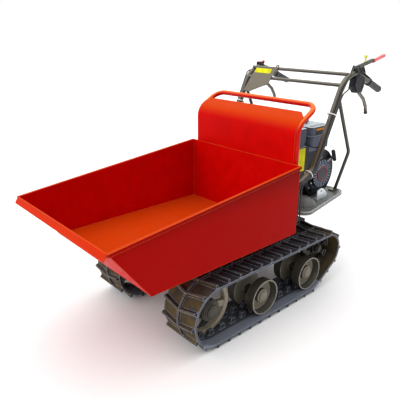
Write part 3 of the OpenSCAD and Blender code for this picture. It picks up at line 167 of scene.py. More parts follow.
class Web:
    """Adds nodes to a shader tree and links them by socket."""

    def __init__(self, tree):
        self.tree = tree
        self.count = 0

    def node(self, kind, settings=None, inputs=None):
        made = self.tree.nodes.new(kind)
        made.location = (self.count % 8 * 200, -(self.count // 8) * 260)
        self.count += 1
        for key, value in (settings or {}).items():
            setattr(made, key, value)
        for key, value in (inputs or {}).items():
            self.feed(made.inputs[key], value)
        return made

    def feed(self, socket, value):
        if isinstance(value, bpy.types.NodeSocket):
            self.tree.links.new(value, socket)
        elif hasattr(value, "__len__") and socket.type == "RGBA" and len(value) == 3:
            socket.default_value = (*value, 1.0)
        else:
            socket.default_value = value

    def math(self, operation, a, b=0.0, clamp=False):
        return self.node("ShaderNodeMath", {"operation": operation, "use_clamp": clamp},
                         {0: a, 1: b}).outputs[0]

    def times(self, a, b, clamp=False):
        return self.math("MULTIPLY", a, b, clamp)

    def above(self, value, level):
        return self.math("GREATER_THAN", value, level)

    def below(self, value, level):
        return self.math("LESS_THAN", value, level)

    def between(self, value, low, high):
        return self.times(self.above(value, low), self.below(value, high))

    def vector(self, operation, a, b):
        return self.node("ShaderNodeVectorMath", {"operation": operation}, {0: a, 1: b}).outputs

    def parts(self, vector):
        return self.node("ShaderNodeSeparateXYZ", None, {0: vector}).outputs

    def facing(self):
        return self.parts(self.node("ShaderNodeTexCoord").outputs["Normal"])

    def noise(self, vector, scale, detail=3.0, rough=0.5):
        return self.node("ShaderNodeTexNoise", None, {
            "Vector": vector, "Scale": scale, "Detail": detail, "Roughness": rough}).outputs["Fac"]

    def span(self, value, low, high, to_low=0.0, to_high=1.0):
        return self.node("ShaderNodeMapRange", {"interpolation_type": "SMOOTHSTEP"}, {
            "Value": value, "From Min": low, "From Max": high,
            "To Min": to_low, "To Max": to_high}).outputs[0]

    def mix(self, amount, a, b):
        made = self.node("ShaderNodeMix", {"data_type": "RGBA"}, {0: amount})
        self.feed(made.inputs[6], a)
        self.feed(made.inputs[7], b)
        return made.outputs[2]

    def stretch(self, vector, scale, turned_by=(0, 0, 0)):
        return self.node("ShaderNodeMapping", None, {
            "Vector": vector, "Scale": scale, "Rotation": turned_by}).outputs[0]

    def group(self, name, inputs):
        return self.node("ShaderNodeGroup", {"node_tree": effect(name)}, inputs).outputs


def effect_grain(web, given):
    """Fine height and a slow shade."""
    fine = web.noise(given["Vector"], given["Scale"], 4.0, 0.6)
    slow = web.noise(given["Vector"], web.times(given["Scale"], 0.04), 3.0, 0.55)
    height = web.math("ADD", web.times(fine, 0.75), web.times(slow, 0.25))
    return {"Height": height, "Shade": web.span(slow, 0.3, 0.7)}


def effect_edge(web, given):
    """Worn edges, from how far the rounded normal leaves the face's own. Sharp is every edge
    unbroken, which the finishes use for painted highlights.
    """
    soft = web.node("ShaderNodeBevel", {"samples": 6}, {"Radius": given["Radius"]}).outputs[0]
    flat = web.node("ShaderNodeNewGeometry").outputs["Normal"]
    agree = web.vector("DOT_PRODUCT", soft, flat)["Value"]
    sharp = web.span(web.math("SUBTRACT", 1.0, agree), 0.01, 0.20)
    spots = web.span(web.noise(given["Vector"], given["Breakup"], 5.0, 0.65), 0.38, 0.62)
    mask = web.times(web.times(sharp, spots), given["Amount"], True)
    return {"Mask": mask, "Sharp": sharp, "Normal": soft}


def effect_dust(web, given):
    """Dust that settles on what looks up."""
    up = web.span(web.facing()[2], 0.1, 1.0)
    patch = web.span(web.noise(given["Vector"], given["Scale"], 6.0, 0.6), 0.3, 0.8, 0.25, 1.0)
    return {"Mask": web.times(web.times(up, patch), given["Amount"], True)}


def effect_scratch(web, given):
    """Thin crossing lines."""
    lines = []
    for slant, long in ((0.5, 0.03), (-0.9, 0.05)):
        bent = web.stretch(given["Vector"], (1.0, long, 1.0), (0, 0, slant))
        away = web.math("SUBTRACT", web.noise(bent, given["Scale"], 2.0), 0.5)
        lines.append(web.span(web.math("ABSOLUTE", away), 0.0, 0.006, 1.0, 0.0))
    patch = web.span(web.noise(given["Vector"], 5.0, 2.0), 0.45, 0.65)
    both = web.math("MAXIMUM", *lines)
    return {"Mask": web.times(web.times(both, patch), given["Amount"], True)}


def effect_upward(web, given):
    """How far a face looks up, in the piece's own frame."""
    up = web.facing()[2]
    drift = web.times(web.math("SUBTRACT", web.noise(given["Vector"], 3.0), 0.5), 0.2)
    return {"Mask": web.span(web.math("ADD", up, drift), given["Low"], given["High"])}


# Each effect's builder, inputs and outputs
EFFECTS = {
    "grain": (effect_grain, ("Vector", "Scale"), ("Height", "Shade")),
    "edge_wear": (effect_edge, ("Vector", "Radius", "Breakup", "Amount"),
                  ("Mask", "Sharp", "Normal")),
    "dust": (effect_dust, ("Vector", "Scale", "Amount"), ("Mask",)),
    "scratches": (effect_scratch, ("Vector", "Scale", "Amount"), ("Mask",)),
    "upward": (effect_upward, ("Vector", "Low", "High"), ("Mask",)),
}
VECTORS = ("Vector", "Normal")


def effect(name):
    """The node group of that name, built the first time it is asked for."""
    made = bpy.data.node_groups.get(name)
    if made:
        return made
    build, takes, gives = EFFECTS[name]
    made = bpy.data.node_groups.new(name, "ShaderNodeTree")
    for sockets, way in ((takes, "INPUT"), (gives, "OUTPUT")):
        for socket in sockets:
            kind = "NodeSocketVector" if socket in VECTORS else "NodeSocketFloat"
            made.interface.new_socket(socket, in_out=way, socket_type=kind)
    web = Web(made)
    given = web.node("NodeGroupInput").outputs
    end = web.node("NodeGroupOutput")
    for socket, value in build(web, given).items():
        web.feed(end.inputs[socket], value)
    return made


class Finish:
    """A material with its web, its object coordinates and its Principled shader."""

    def __init__(self, name, metallic=0.0, specular=0.5, **fixed):
        self.material = bpy.data.materials.new(name)
        self.material.use_nodes = True
        tree = self.material.node_tree
        tree.nodes.clear()
        self.web = Web(tree)
        self.at = self.web.node("ShaderNodeTexCoord").outputs["Object"]
        self.shader = self.web.node("ShaderNodeBsdfPrincipled", None, {
            "Metallic": metallic, "Specular IOR Level": specular, **fixed})
        end = self.web.node("ShaderNodeOutputMaterial")
        tree.links.new(self.shader.outputs[0], end.inputs[0])

    def add(self, effect_name, **inputs):
        return self.web.group(effect_name, {"Vector": self.at, **inputs})

    def set(self, **inputs):
        for key, value in inputs.items():
            self.web.feed(self.shader.inputs[key.replace("_", " ")], value)

    def bump(self, height, amount, depth, normal):
        self.set(Normal=self.web.node("ShaderNodeBump", None, {
            "Strength": amount, "Distance": depth, "Height": height,
            "Normal": normal}).outputs[0])


def tint(base, factor):
    """A colour made lighter or darker."""
    return tuple(min(1.0, c * factor) for c in base)


# Colours that aren't among the properties
DUST = (0.42, 0.38, 0.32)
BARE = (0.52, 0.51, 0.50)
RED_PRIMER = (0.85, 0.42, 0.25)
# Painted highlight on the engine bed's edges, and bare metal where its paint is worn
BED_RIM_HIGHLIGHT, BED_BARE = (0.95, 0.96, 0.97), (0.8, 0.8, 0.8)
# Painted highlight on the wheels' edges
WHEEL_RIM_HIGHLIGHT = (0.78, 0.76, 0.70)
DARK_STEEL = (0.13, 0.12, 0.10)
# Painted shade on steel down by the tracks
SHADED_STEEL = (0.055, 0.050, 0.044)
ZINC = (0.80, 0.87, 0.92)
CAST_IRON = (0.05, 0.052, 0.056)
ALLOY = (0.20, 0.21, 0.24)
# Engine enamel: painted light where it looks up, a painted highlight on its edges, and bare metal
# where worn
NAVY_LIT, NAVY_EDGE_HIGHLIGHT, NAVY_BARE = (0.50, 0.57, 0.61), (0.20, 0.23, 0.28), (0.3, 0.34, 0.42)
MUFFLER_GREY, MUFFLER_STAIN = (0.32, 0.30, 0.28), (0.20, 0.13, 0.09)
MAROON = (0.26, 0.028, 0.036)

# Places on the solids where a finish changes, in the shared frame
GEAR_TOP = 0.3
SKIP_SIDE = 0.3222
# Heights over which the painted shadow below the skip's rim fades out
RIM_SHADOW = (0.50, 0.62)
IDLER_REAR = -0.19
IDLER_AXLE = (0.0, -0.31683, 0.139)
IDLER_HUB = 0.0478
LEVER_BALLS = (0.5, 0.792)
TANK_BOTTOM, TANK_FRONT, CLEANER_BOTTOM = 0.6205, 0.37, 0.6502
BAND_HEIGHTS = (0.68, 0.75)

# The starter's middle, the wall and face of its ring, and its slots
STARTER = Vector((0.0, 0.46117, 0.506))
STARTER_TOP = 0.65
RING_WALL = (0.1925, 0.2038)
RING_FACE = (0.2038, 0.2045)
RING_RADIUS = 0.0665
SLOT_START = 0.0425
SLOT_COUNT = 28
SLOT_EDGE = -0.05

# The tracks: heights of the lower run's inner face, its ribbed strip, the belt's flank and the ends
INNER_RUN = (0.0224, 0.047)
RIBBED_STRIP = (0.290, 0.296)
RIB_PITCH = 0.0105
BELT_FLANK = 0.336
FRONT_WRAP = (0.28, 0.36)
REAR_WRAP = (0.22, 0.42)

# Pebbled skin of mouldings, and how far edges are softened
PEBBLE_SCALE, PEBBLE_DEPTH = 900.0, 0.00025
MOULDED_EDGE = 0.001
METAL_EDGE = 0.0012


def painted(name, base, wear, rough, radius=0.0015, edges=1.0, specular=0.35, bare=BARE, coat=0.0,
            lit=None, glint=None, gleam=0.8, shade=None, hollow=None, dusty=1.0, scratched=0.0):
    """Sprayed paint: orange peel, slow shade, rubbed edges and dust.

    lit is painted light, its colour where it looks up, which may be scratched. glint is the colour
    of a painted highlight along its edges and gleam how far it goes. shade changes its colour by
    place, and hollow gives where it stays dark: dark parts, and painted shade in recesses.
    """
    finish = Finish(name, specular=specular, **{"Coat Weight": coat, "Coat Roughness": 0.12})
    web, at = finish.web, finish.at
    grain = finish.add("grain", Scale=420.0)
    edge = finish.add("edge_wear", Radius=radius, Breakup=90.0, Amount=wear.edges * edges)
    dust = finish.add("dust", Scale=14.0, Amount=wear.dust * dusty)
    hue = web.mix(grain["Shade"], tint(base, 0.93), tint(base, 1.05))
    if shade:
        hue = shade(web, at, hue)
    # Painted light where the face looks up
    if lit is not None:
        look = finish.add("upward", Low=0.15, High=0.85)
        hue = web.mix(look["Mask"], hue, lit)
        if scratched:
            lines = finish.add("scratches", Scale=30.0, Amount=wear.scratches * scratched)
            hue = web.mix(web.times(lines["Mask"], look["Mask"]), hue, tint(lit, 1.5))
    # Painted highlight along the edges
    if glint is not None:
        hue = web.mix(web.times(edge["Sharp"], gleam), hue, glint)
    # Dark parts, and painted shade in recesses
    if hollow:
        hue = web.mix(hollow(web, at), hue, tint(base, 0.3))
    hue = web.mix(edge["Mask"], hue, bare)
    hue = web.mix(dust["Mask"], hue, DUST)
    finish.set(Base_Color=hue, Metallic=web.times(edge["Mask"], 0.6))
    uneven = web.span(grain["Shade"], 0.0, 1.0, rough - 0.05, rough + 0.06)
    finish.set(Roughness=web.math("ADD", uneven, web.times(dust["Mask"], 0.4), True))
    finish.bump(grain["Height"], 0.12, 0.0004, edge["Normal"])
    return finish.material


def moulded(name, base, wear, rough, specular=0.4, pale=1.6, dusty=0.6, shade=None):
    """Moulded plastic or rubber: pebbled skin, a painted highlight along its edges, and dust.

    pale is how much lighter the painted highlight makes its edges, and shade changes its colour by
    place.
    """
    finish = Finish(name, specular=specular)
    web, at = finish.web, finish.at
    grain = finish.add("grain", Scale=PEBBLE_SCALE)
    edge = finish.add("edge_wear", Radius=MOULDED_EDGE, Breakup=60.0, Amount=1.0)
    dust = finish.add("dust", Scale=18.0, Amount=wear.dust * dusty)
    hue = web.mix(grain["Shade"], tint(base, 0.85), tint(base, 1.15))
    # Painted highlight along the edges
    hue = web.mix(web.times(edge["Sharp"], 0.6), hue, tint(base, pale))
    if shade:
        hue = shade(web, at, hue)
    finish.set(Base_Color=web.mix(dust["Mask"], hue, DUST))
    finish.set(Roughness=web.span(grain["Shade"], 0.0, 1.0, rough - 0.06, rough + 0.06))
    finish.bump(grain["Height"], 0.35, PEBBLE_DEPTH, edge["Normal"])
    return finish.material


def bare_metal(name, base, rough=0.3, brushed=(1.0, 1.0, 0.06), scale=500.0, stain=None,
               metallic=1.0, shade=None):
    """Metal with its grain brushed into lines or left as pits, with stains and bright edges."""
    finish = Finish(name, metallic=metallic)
    web, at = finish.web, finish.at
    lines = finish.add("grain", Vector=web.stretch(at, brushed), Scale=scale)
    edge = finish.add("edge_wear", Radius=METAL_EDGE, Breakup=60.0, Amount=1.0)
    patch = web.span(web.noise(at, 22.0, 5.0, 0.65), 0.42, 0.72)
    hue = web.mix(lines["Height"], tint(base, 0.82), tint(base, 1.12))
    hue = web.mix(web.times(patch, 0.5), hue, stain or tint(base, 0.6))
    hue = web.mix(web.times(edge["Mask"], 0.6), hue, tint(base, 1.5))
    if shade:
        hue = shade(web, at, hue)
    uneven = web.span(lines["Height"], 0.3, 0.7, rough - 0.06, rough + 0.08)
    finish.set(Base_Color=hue, Roughness=web.math("ADD", uneven, web.times(patch, 0.15), True))
    finish.bump(lines["Height"], 0.2, 0.0002, edge["Normal"])
    return finish.material


def track_rubber(colours, wear):
    """Moulded rubber: painted highlights on its edges and flanks, soil at the ends, and a ribbed
    strip in the lower run with a painted sheen.
    """
    finish = Finish("track_rubber", specular=0.15)
    web, at = finish.web, finish.at
    base = colours.rubber
    grain = finish.add("grain", Scale=350.0)
    edge = finish.add("edge_wear", Radius=0.004, Breakup=25.0, Amount=1.0)
    dust = finish.add("dust", Scale=10.0, Amount=wear.dust * 0.5)
    spot, way = web.parts(at), web.facing()
    across = web.math("ABSOLUTE", spot[0])
    within = web.between(spot[2], *INNER_RUN)
    strip = web.span(across, *RIBBED_STRIP)
    wave = web.math("SINE", web.times(spot[1], 2 * math.pi / RIB_PITCH))
    ribs = web.times(web.times(wave, strip), within)
    hue = web.mix(grain["Shade"], tint(base, 0.75), tint(base, 1.2))
    front = web.times(web.span(web.times(way[1], -1.0), 0.05, 0.8),
                      web.span(web.times(spot[1], -1.0), *FRONT_WRAP))
    ends = web.math("MAXIMUM", front, web.span(spot[1], *REAR_WRAP, 0.0, 0.7))
    soil = web.times(ends, web.span(web.noise(at, 30.0, 4.0, 0.6), 0.3, 0.65, 0.25, 1.0))
    hue = web.mix(soil, hue, colours.soil)
    # Painted sheen on the lower run's inner face
    inner = web.times(within, web.span(strip, 0.0, 1.0, 0.12, 0.85))
    hue = web.mix(inner, hue, colours.rubber_inner_sheen)
    hue = web.mix(web.span(ribs, 0.0, 0.7, 0.0, 0.8), hue, tint(base, 1.2))
    # Painted light on the belts' outer flanks
    flank = web.times(web.above(web.math("ABSOLUTE", way[0]), 0.9), web.above(across, BELT_FLANK))
    hue = web.mix(web.times(flank, 0.13), hue, colours.rubber_edge_highlight)
    # Painted highlight along the edges
    hue = web.mix(web.times(edge["Sharp"], 0.8), hue, colours.rubber_edge_highlight)
    finish.set(Base_Color=web.mix(dust["Mask"], hue, DUST),
               Roughness=web.span(grain["Shade"], 0.0, 1.0, 0.5, 0.7))
    height = web.math("ADD", web.times(grain["Height"], 0.3), web.times(ribs, -0.5))
    finish.bump(height, 0.5, 0.0008, edge["Normal"])
    return finish.material


def skip_shade(colours):
    """Painted shade on the outer sides, deepest as a painted shadow below the rim."""
    def shade(web, at, hue):
        spot = web.parts(at)
        outer = web.above(web.math("ABSOLUTE", spot[0]), SKIP_SIDE)
        side = web.mix(web.span(spot[2], *RIM_SHADOW), colours.skip_side_shade,
                       tint(colours.skip_side_shade, 0.66))
        return web.mix(outer, hue, side)
    return shade


def wheel_shade(colours):
    """Dusty beige on the idlers, and rollers with painted light on their dishes and painted shade
    on their running faces.
    """
    def shade(web, at, hue):
        spot, way = web.parts(at), web.facing()
        # Painted light on faces that face outward, painted shade on the running faces
        dish = web.span(web.math("ABSOLUTE", way[0]), 0.3, 0.8)
        roller = web.mix(dish, tint(colours.wheel_grey, 0.38), tint(colours.wheel_grey, 1.9))
        hue = web.mix(web.below(spot[2], GEAR_TOP), hue, roller)
        return web.mix(web.below(spot[1], IDLER_REAR), hue, colours.idler_beige)
    return shade


def wheel_hollow(web, at):
    """The hubs within the idlers, and the balls on the steering levers."""
    flat = web.vector("MULTIPLY", at, (0.0, 1.0, 1.0))[0]
    reach = web.vector("DISTANCE", flat, IDLER_AXLE)["Value"]
    ball = web.between(web.parts(at)[2], *LEVER_BALLS)
    return web.times(web.math("MAXIMUM", web.below(reach, IDLER_HUB), ball), 0.9)


def enamel_shade(colours):
    """Blue-grey on the tank and the starter's ring, and a deeper one on the air cleaner."""
    def shade(web, at, hue):
        spot = web.parts(at)
        tank = web.times(web.above(spot[2], TANK_BOTTOM), web.above(spot[1], TANK_FRONT))
        cleaner = web.times(web.above(spot[2], CLEANER_BOTTOM), web.below(spot[1], TANK_FRONT))
        hue = web.mix(tank, hue, colours.blue_grey)
        hue = web.mix(ring_face(web, at), hue, tint(colours.blue_grey, 2.4))
        return web.mix(cleaner, hue, tint(colours.blue_grey, 0.62))
    return shade


def starter_spot(web, at):
    """Distance from the starter's middle, and the cosine wave that peaks at its slots."""
    spot = web.parts(at)
    up = web.math("SUBTRACT", spot[2], STARTER.z)
    along = web.math("SUBTRACT", spot[1], STARTER.y)
    wave = web.math("COSINE", web.times(web.math("ARCTAN2", up, along), SLOT_COUNT))
    squares = web.math("ADD", web.times(up, up), web.times(along, along))
    return web.math("SQRT", squares), wave


def ring_face(web, at):
    """The face of the starter's ring."""
    flat = web.between(web.parts(at)[0], *RING_FACE)
    return web.times(flat, web.below(starter_spot(web, at)[0], RING_RADIUS))


def starter_slots(web, at):
    """The wall of the starter's ring, and its slots with their edges, painted dark as painted
    shade.
    """
    wall = web.between(web.parts(at)[0], *RING_WALL)
    reach, wave = starter_spot(web, at)
    slots = web.times(web.above(wave, SLOT_EDGE), web.above(reach, SLOT_START))
    return web.math("MAXIMUM", wall, web.times(slots, ring_face(web, at)))


def ring_shade(web, at, hue):
    """Maroon on the starter's trim ring."""
    return web.mix(web.below(web.parts(at)[2], STARTER_TOP), hue, MAROON)


def steel_shade(web, at, hue):
    """Painted shade on steel down by the tracks."""
    return web.mix(web.below(web.parts(at)[2], GEAR_TOP), hue, SHADED_STEEL)


def band_shade(colours):
    """Orange on the tank's band."""
    def shade(web, at, hue):
        return web.mix(web.between(web.parts(at)[2], *BAND_HEIGHTS), hue, colours.band_orange)
    return shade


def finishes(colours, wear):
    """Makes every material, each named after the slot that it finishes."""
    return (
        painted("skip_red", colours.skip_red, wear, 0.42, radius=0.0025, edges=0.3, specular=0.03,
                dusty=0.12, bare=RED_PRIMER, lit=colours.skip_lit_orange, glint=colours.skip_edge_highlight,
                shade=skip_shade(colours), scratched=0.5),
        # Its lit colour is a painted highlight along the guard tube's top
        painted("guard_gloss", colours.skip_red, wear, 0.25, radius=0.002, edges=0.3, specular=0.1,
                dusty=0.1, bare=RED_PRIMER, coat=0.08, lit=tint(colours.skip_edge_highlight, 0.9)),
        painted("frame_black", colours.frame_black, wear, 0.45, edges=0.5, specular=0.15),
        painted("tube_olive", colours.tube_olive, wear, 0.2, edges=0.5, specular=0.45, coat=0.3,
                lit=colours.tube_lit),
        painted("bed_grey", colours.bed_grey, wear, 0.28, radius=0.007, edges=0.6, specular=0.4,
                glint=BED_RIM_HIGHLIGHT, gleam=1.0, bare=BED_BARE),
        painted("wheel_paint", colours.wheel_grey, wear, 0.36, radius=0.0045, edges=0.6,
                specular=0.3, glint=WHEEL_RIM_HIGHLIGHT, shade=wheel_shade(colours), hollow=wheel_hollow),
        bare_metal("sprocket_steel", DARK_STEEL, 0.42, (1, 1, 1), 300.0),
        bare_metal("steel", ZINC, metallic=0.25, shade=steel_shade),
        track_rubber(colours, wear),
        moulded("soft_rubber", colours.soft_black, wear, 0.55),
        painted("cast_case", CAST_IRON, wear, 0.5, specular=0.2),
        bare_metal("engine_alloy", ALLOY, 0.45, (1, 1, 1), 260.0),
        painted("engine_black", colours.black, wear, 0.3),
        painted("engine_navy", colours.navy, wear, 0.3, edges=0.5, specular=0.15, bare=NAVY_BARE,
                lit=NAVY_LIT, glint=NAVY_EDGE_HIGHLIGHT, gleam=0.6, shade=enamel_shade(colours),
                hollow=starter_slots),
        moulded("black_plastic", colours.black, wear, 0.42, specular=0.2),
        bare_metal("muffler_steel", MUFFLER_GREY, 0.4, stain=MUFFLER_STAIN),
        moulded("red_plastic", colours.lever_red, wear, 0.3, pale=1.25, dusty=0.2,
                shade=ring_shade),
        moulded("yellow_plastic", colours.plate_yellow, wear, 0.45, specular=0.1, pale=1.1,
                dusty=0.2, shade=band_shade(colours)),
        moulded("white_plastic", colours.nylon, wear, 0.4, pale=1.1, dusty=0.2),
    )


def material_of(slot):
    """The finish of a slot, made with the rest when the first is asked for."""
    if slot not in bpy.data.materials or not bpy.data.materials[slot].get("carrier"):
        scene = bpy.context.scene
        for old in list(bpy.data.materials):
            old.name = "cad_" + old.name
        for made in finishes(scene.carrier_colours, scene.carrier_wear):
            made["carrier"] = True
    return bpy.data.materials[slot]


def paint_nodes(slot, *names):
    """Gives CAD nodes a finish in place of the plain one that they came with."""
    for name in names:
        mesh = NODES[name].data
        mesh.materials.clear()
        mesh.materials.append(material_of(slot))


# Pieces

MERGE = 1e-6
SHARP = math.radians(38)
# A face or edge counts as square to an axis from here
SQUARE = 0.9


def piece(name, bm, body, slot, smooth=True):
    """Makes an object of a bmesh that takes a slot's finish and rides on a body, if given one."""
    bmesh.ops.remove_doubles(bm, verts=bm.verts, dist=MERGE)
    bmesh.ops.recalc_face_normals(bm, faces=bm.faces)
    mesh = bpy.data.meshes.new(name)
    bm.to_mesh(mesh)
    bm.free()
    mesh.polygons.foreach_set("use_smooth", [smooth] * len(mesh.polygons))
    if smooth:
        mesh.set_sharp_from_angle(angle=SHARP)
    made = bpy.data.objects.new(name, mesh)
    bpy.context.scene.collection.objects.link(made)
    mesh.materials.append(material_of(slot))
    if body:
        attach(made, body)
    return made


def aimed(at, along):
    """The matrix that stands an upright piece at a point, along a direction."""
    return Matrix.Translation(at) @ Vector(along).to_track_quat("Z", "Y").to_matrix().to_4x4()


def turned(bm, profile, at, along, steps):
    """Spins a profile of (radius, distance) pairs about a line."""
    verts = [bm.verts.new((r, 0.0, h)) for r, h in profile]
    edges = [bm.edges.new(pair) for pair in zip(verts, verts[1:])]
    bmesh.ops.spin(bm, geom=verts + edges, axis=(0, 0, 1), cent=(0, 0, 0), angle=2 * math.pi,
                   steps=steps, use_merge=True)
    bmesh.ops.remove_doubles(bm, verts=[v for v in bm.verts if not v.tag], dist=MERGE)
    fresh = [v for v in bm.verts if not v.tag]
    bmesh.ops.transform(bm, matrix=aimed(at, along), verts=fresh)
    for v in bm.verts:
        v.tag = True


def sheet_on(bm, low, high, corner, axis):
    """A plate between two corners of a box, with its corners rounded across an axis."""
    low, high = Vector(low), Vector(high)
    size = high - low
    made = bmesh.ops.create_cube(bm, size=1.0)["verts"]
    shape = Matrix.Translation((low + high) / 2) @ Matrix.Diagonal((*size, 1))
    bmesh.ops.transform(bm, matrix=shape, verts=made)

    def upright(edge):
        run = edge.verts[0].co - edge.verts[1].co
        return abs(run[axis]) > SQUARE * size[axis] and run.length < 1.1 * size[axis]

    corners = [e for e in dict.fromkeys(e for v in made for e in v.link_edges) if upright(e)]
    bmesh.ops.bevel(bm, geom=corners, offset=corner, affect="EDGES", segments=5, profile=0.5,
                    material=-1)


def stepped(bm, faces, steps):
    """Insets faces by pairs of width and rise, one inside the other."""
    for width, rise in steps:
        bmesh.ops.inset_region(bm, faces=faces, thickness=width, depth=rise, use_even_offset=True)


def dome(bm, at, along, radius, rise):
    """A small round head on a face."""
    profile = ((0.0, rise), (radius * 0.6, rise * 0.85), (radius, rise * 0.3), (radius, 0.0),
               (0.0, 0.0))
    turned(bm, profile, at, along, steps=12)


class CARRIER_OT_skip(bpy.types.Operator):
    """Paint the skip, its guard panel and the tube round it"""

    bl_idname = "carrier.skip"
    bl_label = "Skip"

    def execute(self, context):
        paint_nodes("skip_red", "skip", "guard_panel")
        paint_nodes("guard_gloss", "guard_tube")
        return {"FINISHED"}


# The first weld's place, the step from weld to weld, how many there are and half of one's length
WELD_SIDE, WELD_FRONT, WELD_HIGH = 0.320, -0.56, 0.343
WELD_STEP, WELD_COUNT, WELD_HALF = 0.105, 7, 0.014


class CARRIER_OT_welds(bpy.types.Operator):
    """Lay short weld beads along the seams inside the skip"""

    bl_idname = "carrier.welds"
    bl_label = "Welds"

    def execute(self, context):
        bead = context.scene.carrier_sizes.bead
        shape = Matrix.Diagonal((bead, WELD_HALF, bead, 1))
        seams = bmesh.new()
        for side in SIDES:
            for k in range(WELD_COUNT):
                at = (side * WELD_SIDE, WELD_FRONT + WELD_STEP * k, WELD_HIGH)
                made = bmesh.ops.create_uvsphere(seams, u_segments=12, v_segments=8, radius=1.0)
                bmesh.ops.transform(seams, matrix=Matrix.Translation(at) @ shape,
                                    verts=made["verts"])
        piece("skip_welds", seams, "skip", "skip_red")
        return {"FINISHED"}


class CARRIER_OT_tracks(bpy.types.Operator):
    """Finish the rubber tracks"""

    bl_idname = "carrier.tracks"
    bl_label = "Tracks"

    def execute(self, context):
        paint_nodes("track_rubber", "left_track", "right_track")
        return {"FINISHED"}


class CARRIER_OT_wheels(bpy.types.Operator):
    """Finish the idlers, rollers and sprockets with their shafts"""

    bl_idname = "carrier.wheels"
    bl_label = "Wheels"

    def execute(self, context):
        for side in ("left", "right"):
            paint_nodes("wheel_paint", side + "_idler", side + "_front_roller",
                        side + "_rear_roller")
            paint_nodes("sprocket_steel", side + "_sprocket")
            paint_nodes("steel", side + "_drive_shaft")
        return {"FINISHED"}


class CARRIER_OT_chassis(bpy.types.Operator):
    """Finish the frame, axles, gearbox, pins, latch and engine bed"""

    bl_idname = "carrier.chassis"
    bl_label = "Chassis"

    def execute(self, context):
        paint_nodes("frame_black", "main_frame", "latch_lever")
        paint_nodes("wheel_paint", "wheel_axles")
        paint_nodes("steel", "tension_screws", "tip_pins")
        paint_nodes("soft_rubber", "skip_rests")
        paint_nodes("cast_case", "gearbox")
        paint_nodes("bed_grey", "engine_bed", "bed_cover")
        return {"FINISHED"}


class CARRIER_OT_engine(bpy.types.Operator):
    """Finish the engine and the belt drive"""

    bl_idname = "carrier.engine"
    bl_label = "Engine"

    def execute(self, context):
        paint_nodes("engine_alloy", "engine_block", "carburettor")
        paint_nodes("engine_black", "rocker_cover")
        paint_nodes("engine_navy", "fan_shroud", "recoil_cover", "fuel_tank", "air_cleaner")
        paint_nodes("black_plastic", "recoil_handle", "fuel_cap", "choke_lever", "oil_cap",
                    "engine_switch")
        paint_nodes("muffler_steel", "muffler")
        paint_nodes("frame_black", "belt_cover")
        paint_nodes("sprocket_steel", "engine_pulley", "gearbox_pulley")
        paint_nodes("soft_rubber", "drive_belt")
        paint_nodes("steel", "anchor_bracket", "engine_bolts", "tension_arm")
        return {"FINISHED"}


class CARRIER_OT_handlebars(bpy.types.Operator):
    """Finish the handlebars, braces, levers and cables"""

    bl_idname = "carrier.handlebars"
    bl_label = "Handlebars"

    def execute(self, context):
        paint_nodes("tube_olive", "left_handlebar", "right_handlebar", "cross_tubes", "braces",
                    "control_plate")
        paint_nodes("wheel_paint", "left_steering_lever", "right_steering_lever")
        paint_nodes("frame_black", "clutch_bracket")
        paint_nodes("sprocket_steel", "clutch_lever")
        paint_nodes("black_plastic", "lever_housings")
        paint_nodes("red_plastic", "clutch_grip", "throttle_lever")
        paint_nodes("yellow_plastic", "lock_button")
        paint_nodes("soft_rubber", "control_cables", "grips")
        paint_nodes("white_plastic", "cable_ties")
        return {"FINISHED"}


BAR_SIDE = 0.270
BAR_DOWN = Vector((0.0, 0.92338, -0.38391))
BAR_FALL = math.atan2(BAR_DOWN.z, BAR_DOWN.y)
GRIP_END = Vector((0.0, 0.76217, 0.873))
GRIP_LENGTH = 0.112
GRIP_BORE = 0.0126
# Points round the grip for each rib, and how many of them lie in the flute
RIB_POINTS, FLUTE_POINTS = 6, 2
# Distance along the grip, radius and depth of the flutes
GRIP_RINGS = ((0.108, GRIP_BORE, 0), (0.0, GRIP_BORE, 0), (0.0, 0.0178, 0), (0.0012, 0.0185, 0),
              (0.004, 0.0185, 0), (0.0055, 0.0178, 0), (0.0075, 0.0158, 0), (0.012, 0.0155, 0),
              (0.015, 0.0155, 0.0011), (0.055, 0.0152, 0.0011), (0.098, 0.0155, 0.0011),
              (0.101, 0.0155, 0), (0.1085, 0.0154, 0), (0.111, 0.0146, 0), (0.112, 0.0132, 0))


def rim_of(bm, loop):
    """The edges that join a ring of vertices."""
    return [e for e in bm.edges if e.verts[0] in loop and e.verts[1] in loop]


class CARRIER_OT_grips(bpy.types.Operator):
    """Pull a fluted rubber sleeve over the end of each handlebar"""

    bl_idname = "carrier.grips"
    bl_label = "Grips"

    def execute(self, context):
        count = RIB_POINTS * context.scene.carrier_sizes.grip_ribs
        sleeves = bmesh.new()
        for side in SIDES:
            start = GRIP_END - GRIP_LENGTH * BAR_DOWN + Vector((side * BAR_SIDE, 0, 0))
            loop = set(bmesh.ops.create_circle(sleeves, cap_ends=True, segments=count,
                                               radius=1.0)["verts"])
            made = list(loop)
            for k, (far, radius, depth) in enumerate(GRIP_RINGS):
                if k:
                    fresh = bmesh.ops.extrude_edge_only(sleeves, edges=rim_of(sleeves, loop))
                    loop = {v for v in fresh["geom"] if isinstance(v, bmesh.types.BMVert)}
                    made += loop
                for v in loop:
                    angle = math.atan2(v.co.y, v.co.x)
                    low = round(angle / (2 * math.pi) * count) % RIB_POINTS < FLUTE_POINTS
                    r = radius - depth * low
                    v.co = (r * math.cos(angle), r * math.sin(angle), far)
            bmesh.ops.edgeloop_fill(sleeves, edges=rim_of(sleeves, loop))
            bmesh.ops.transform(sleeves, matrix=aimed(start, BAR_DOWN), verts=made)
        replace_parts(piece("grip_sleeves", sleeves, "chassis", "soft_rubber"), "grips")
        return {"FINISHED"}


PULL = Vector((0.0, math.cos(math.radians(22)), math.sin(math.radians(22))))
GUIDE_END = Vector((0.199, 0.52228, 0.56274))
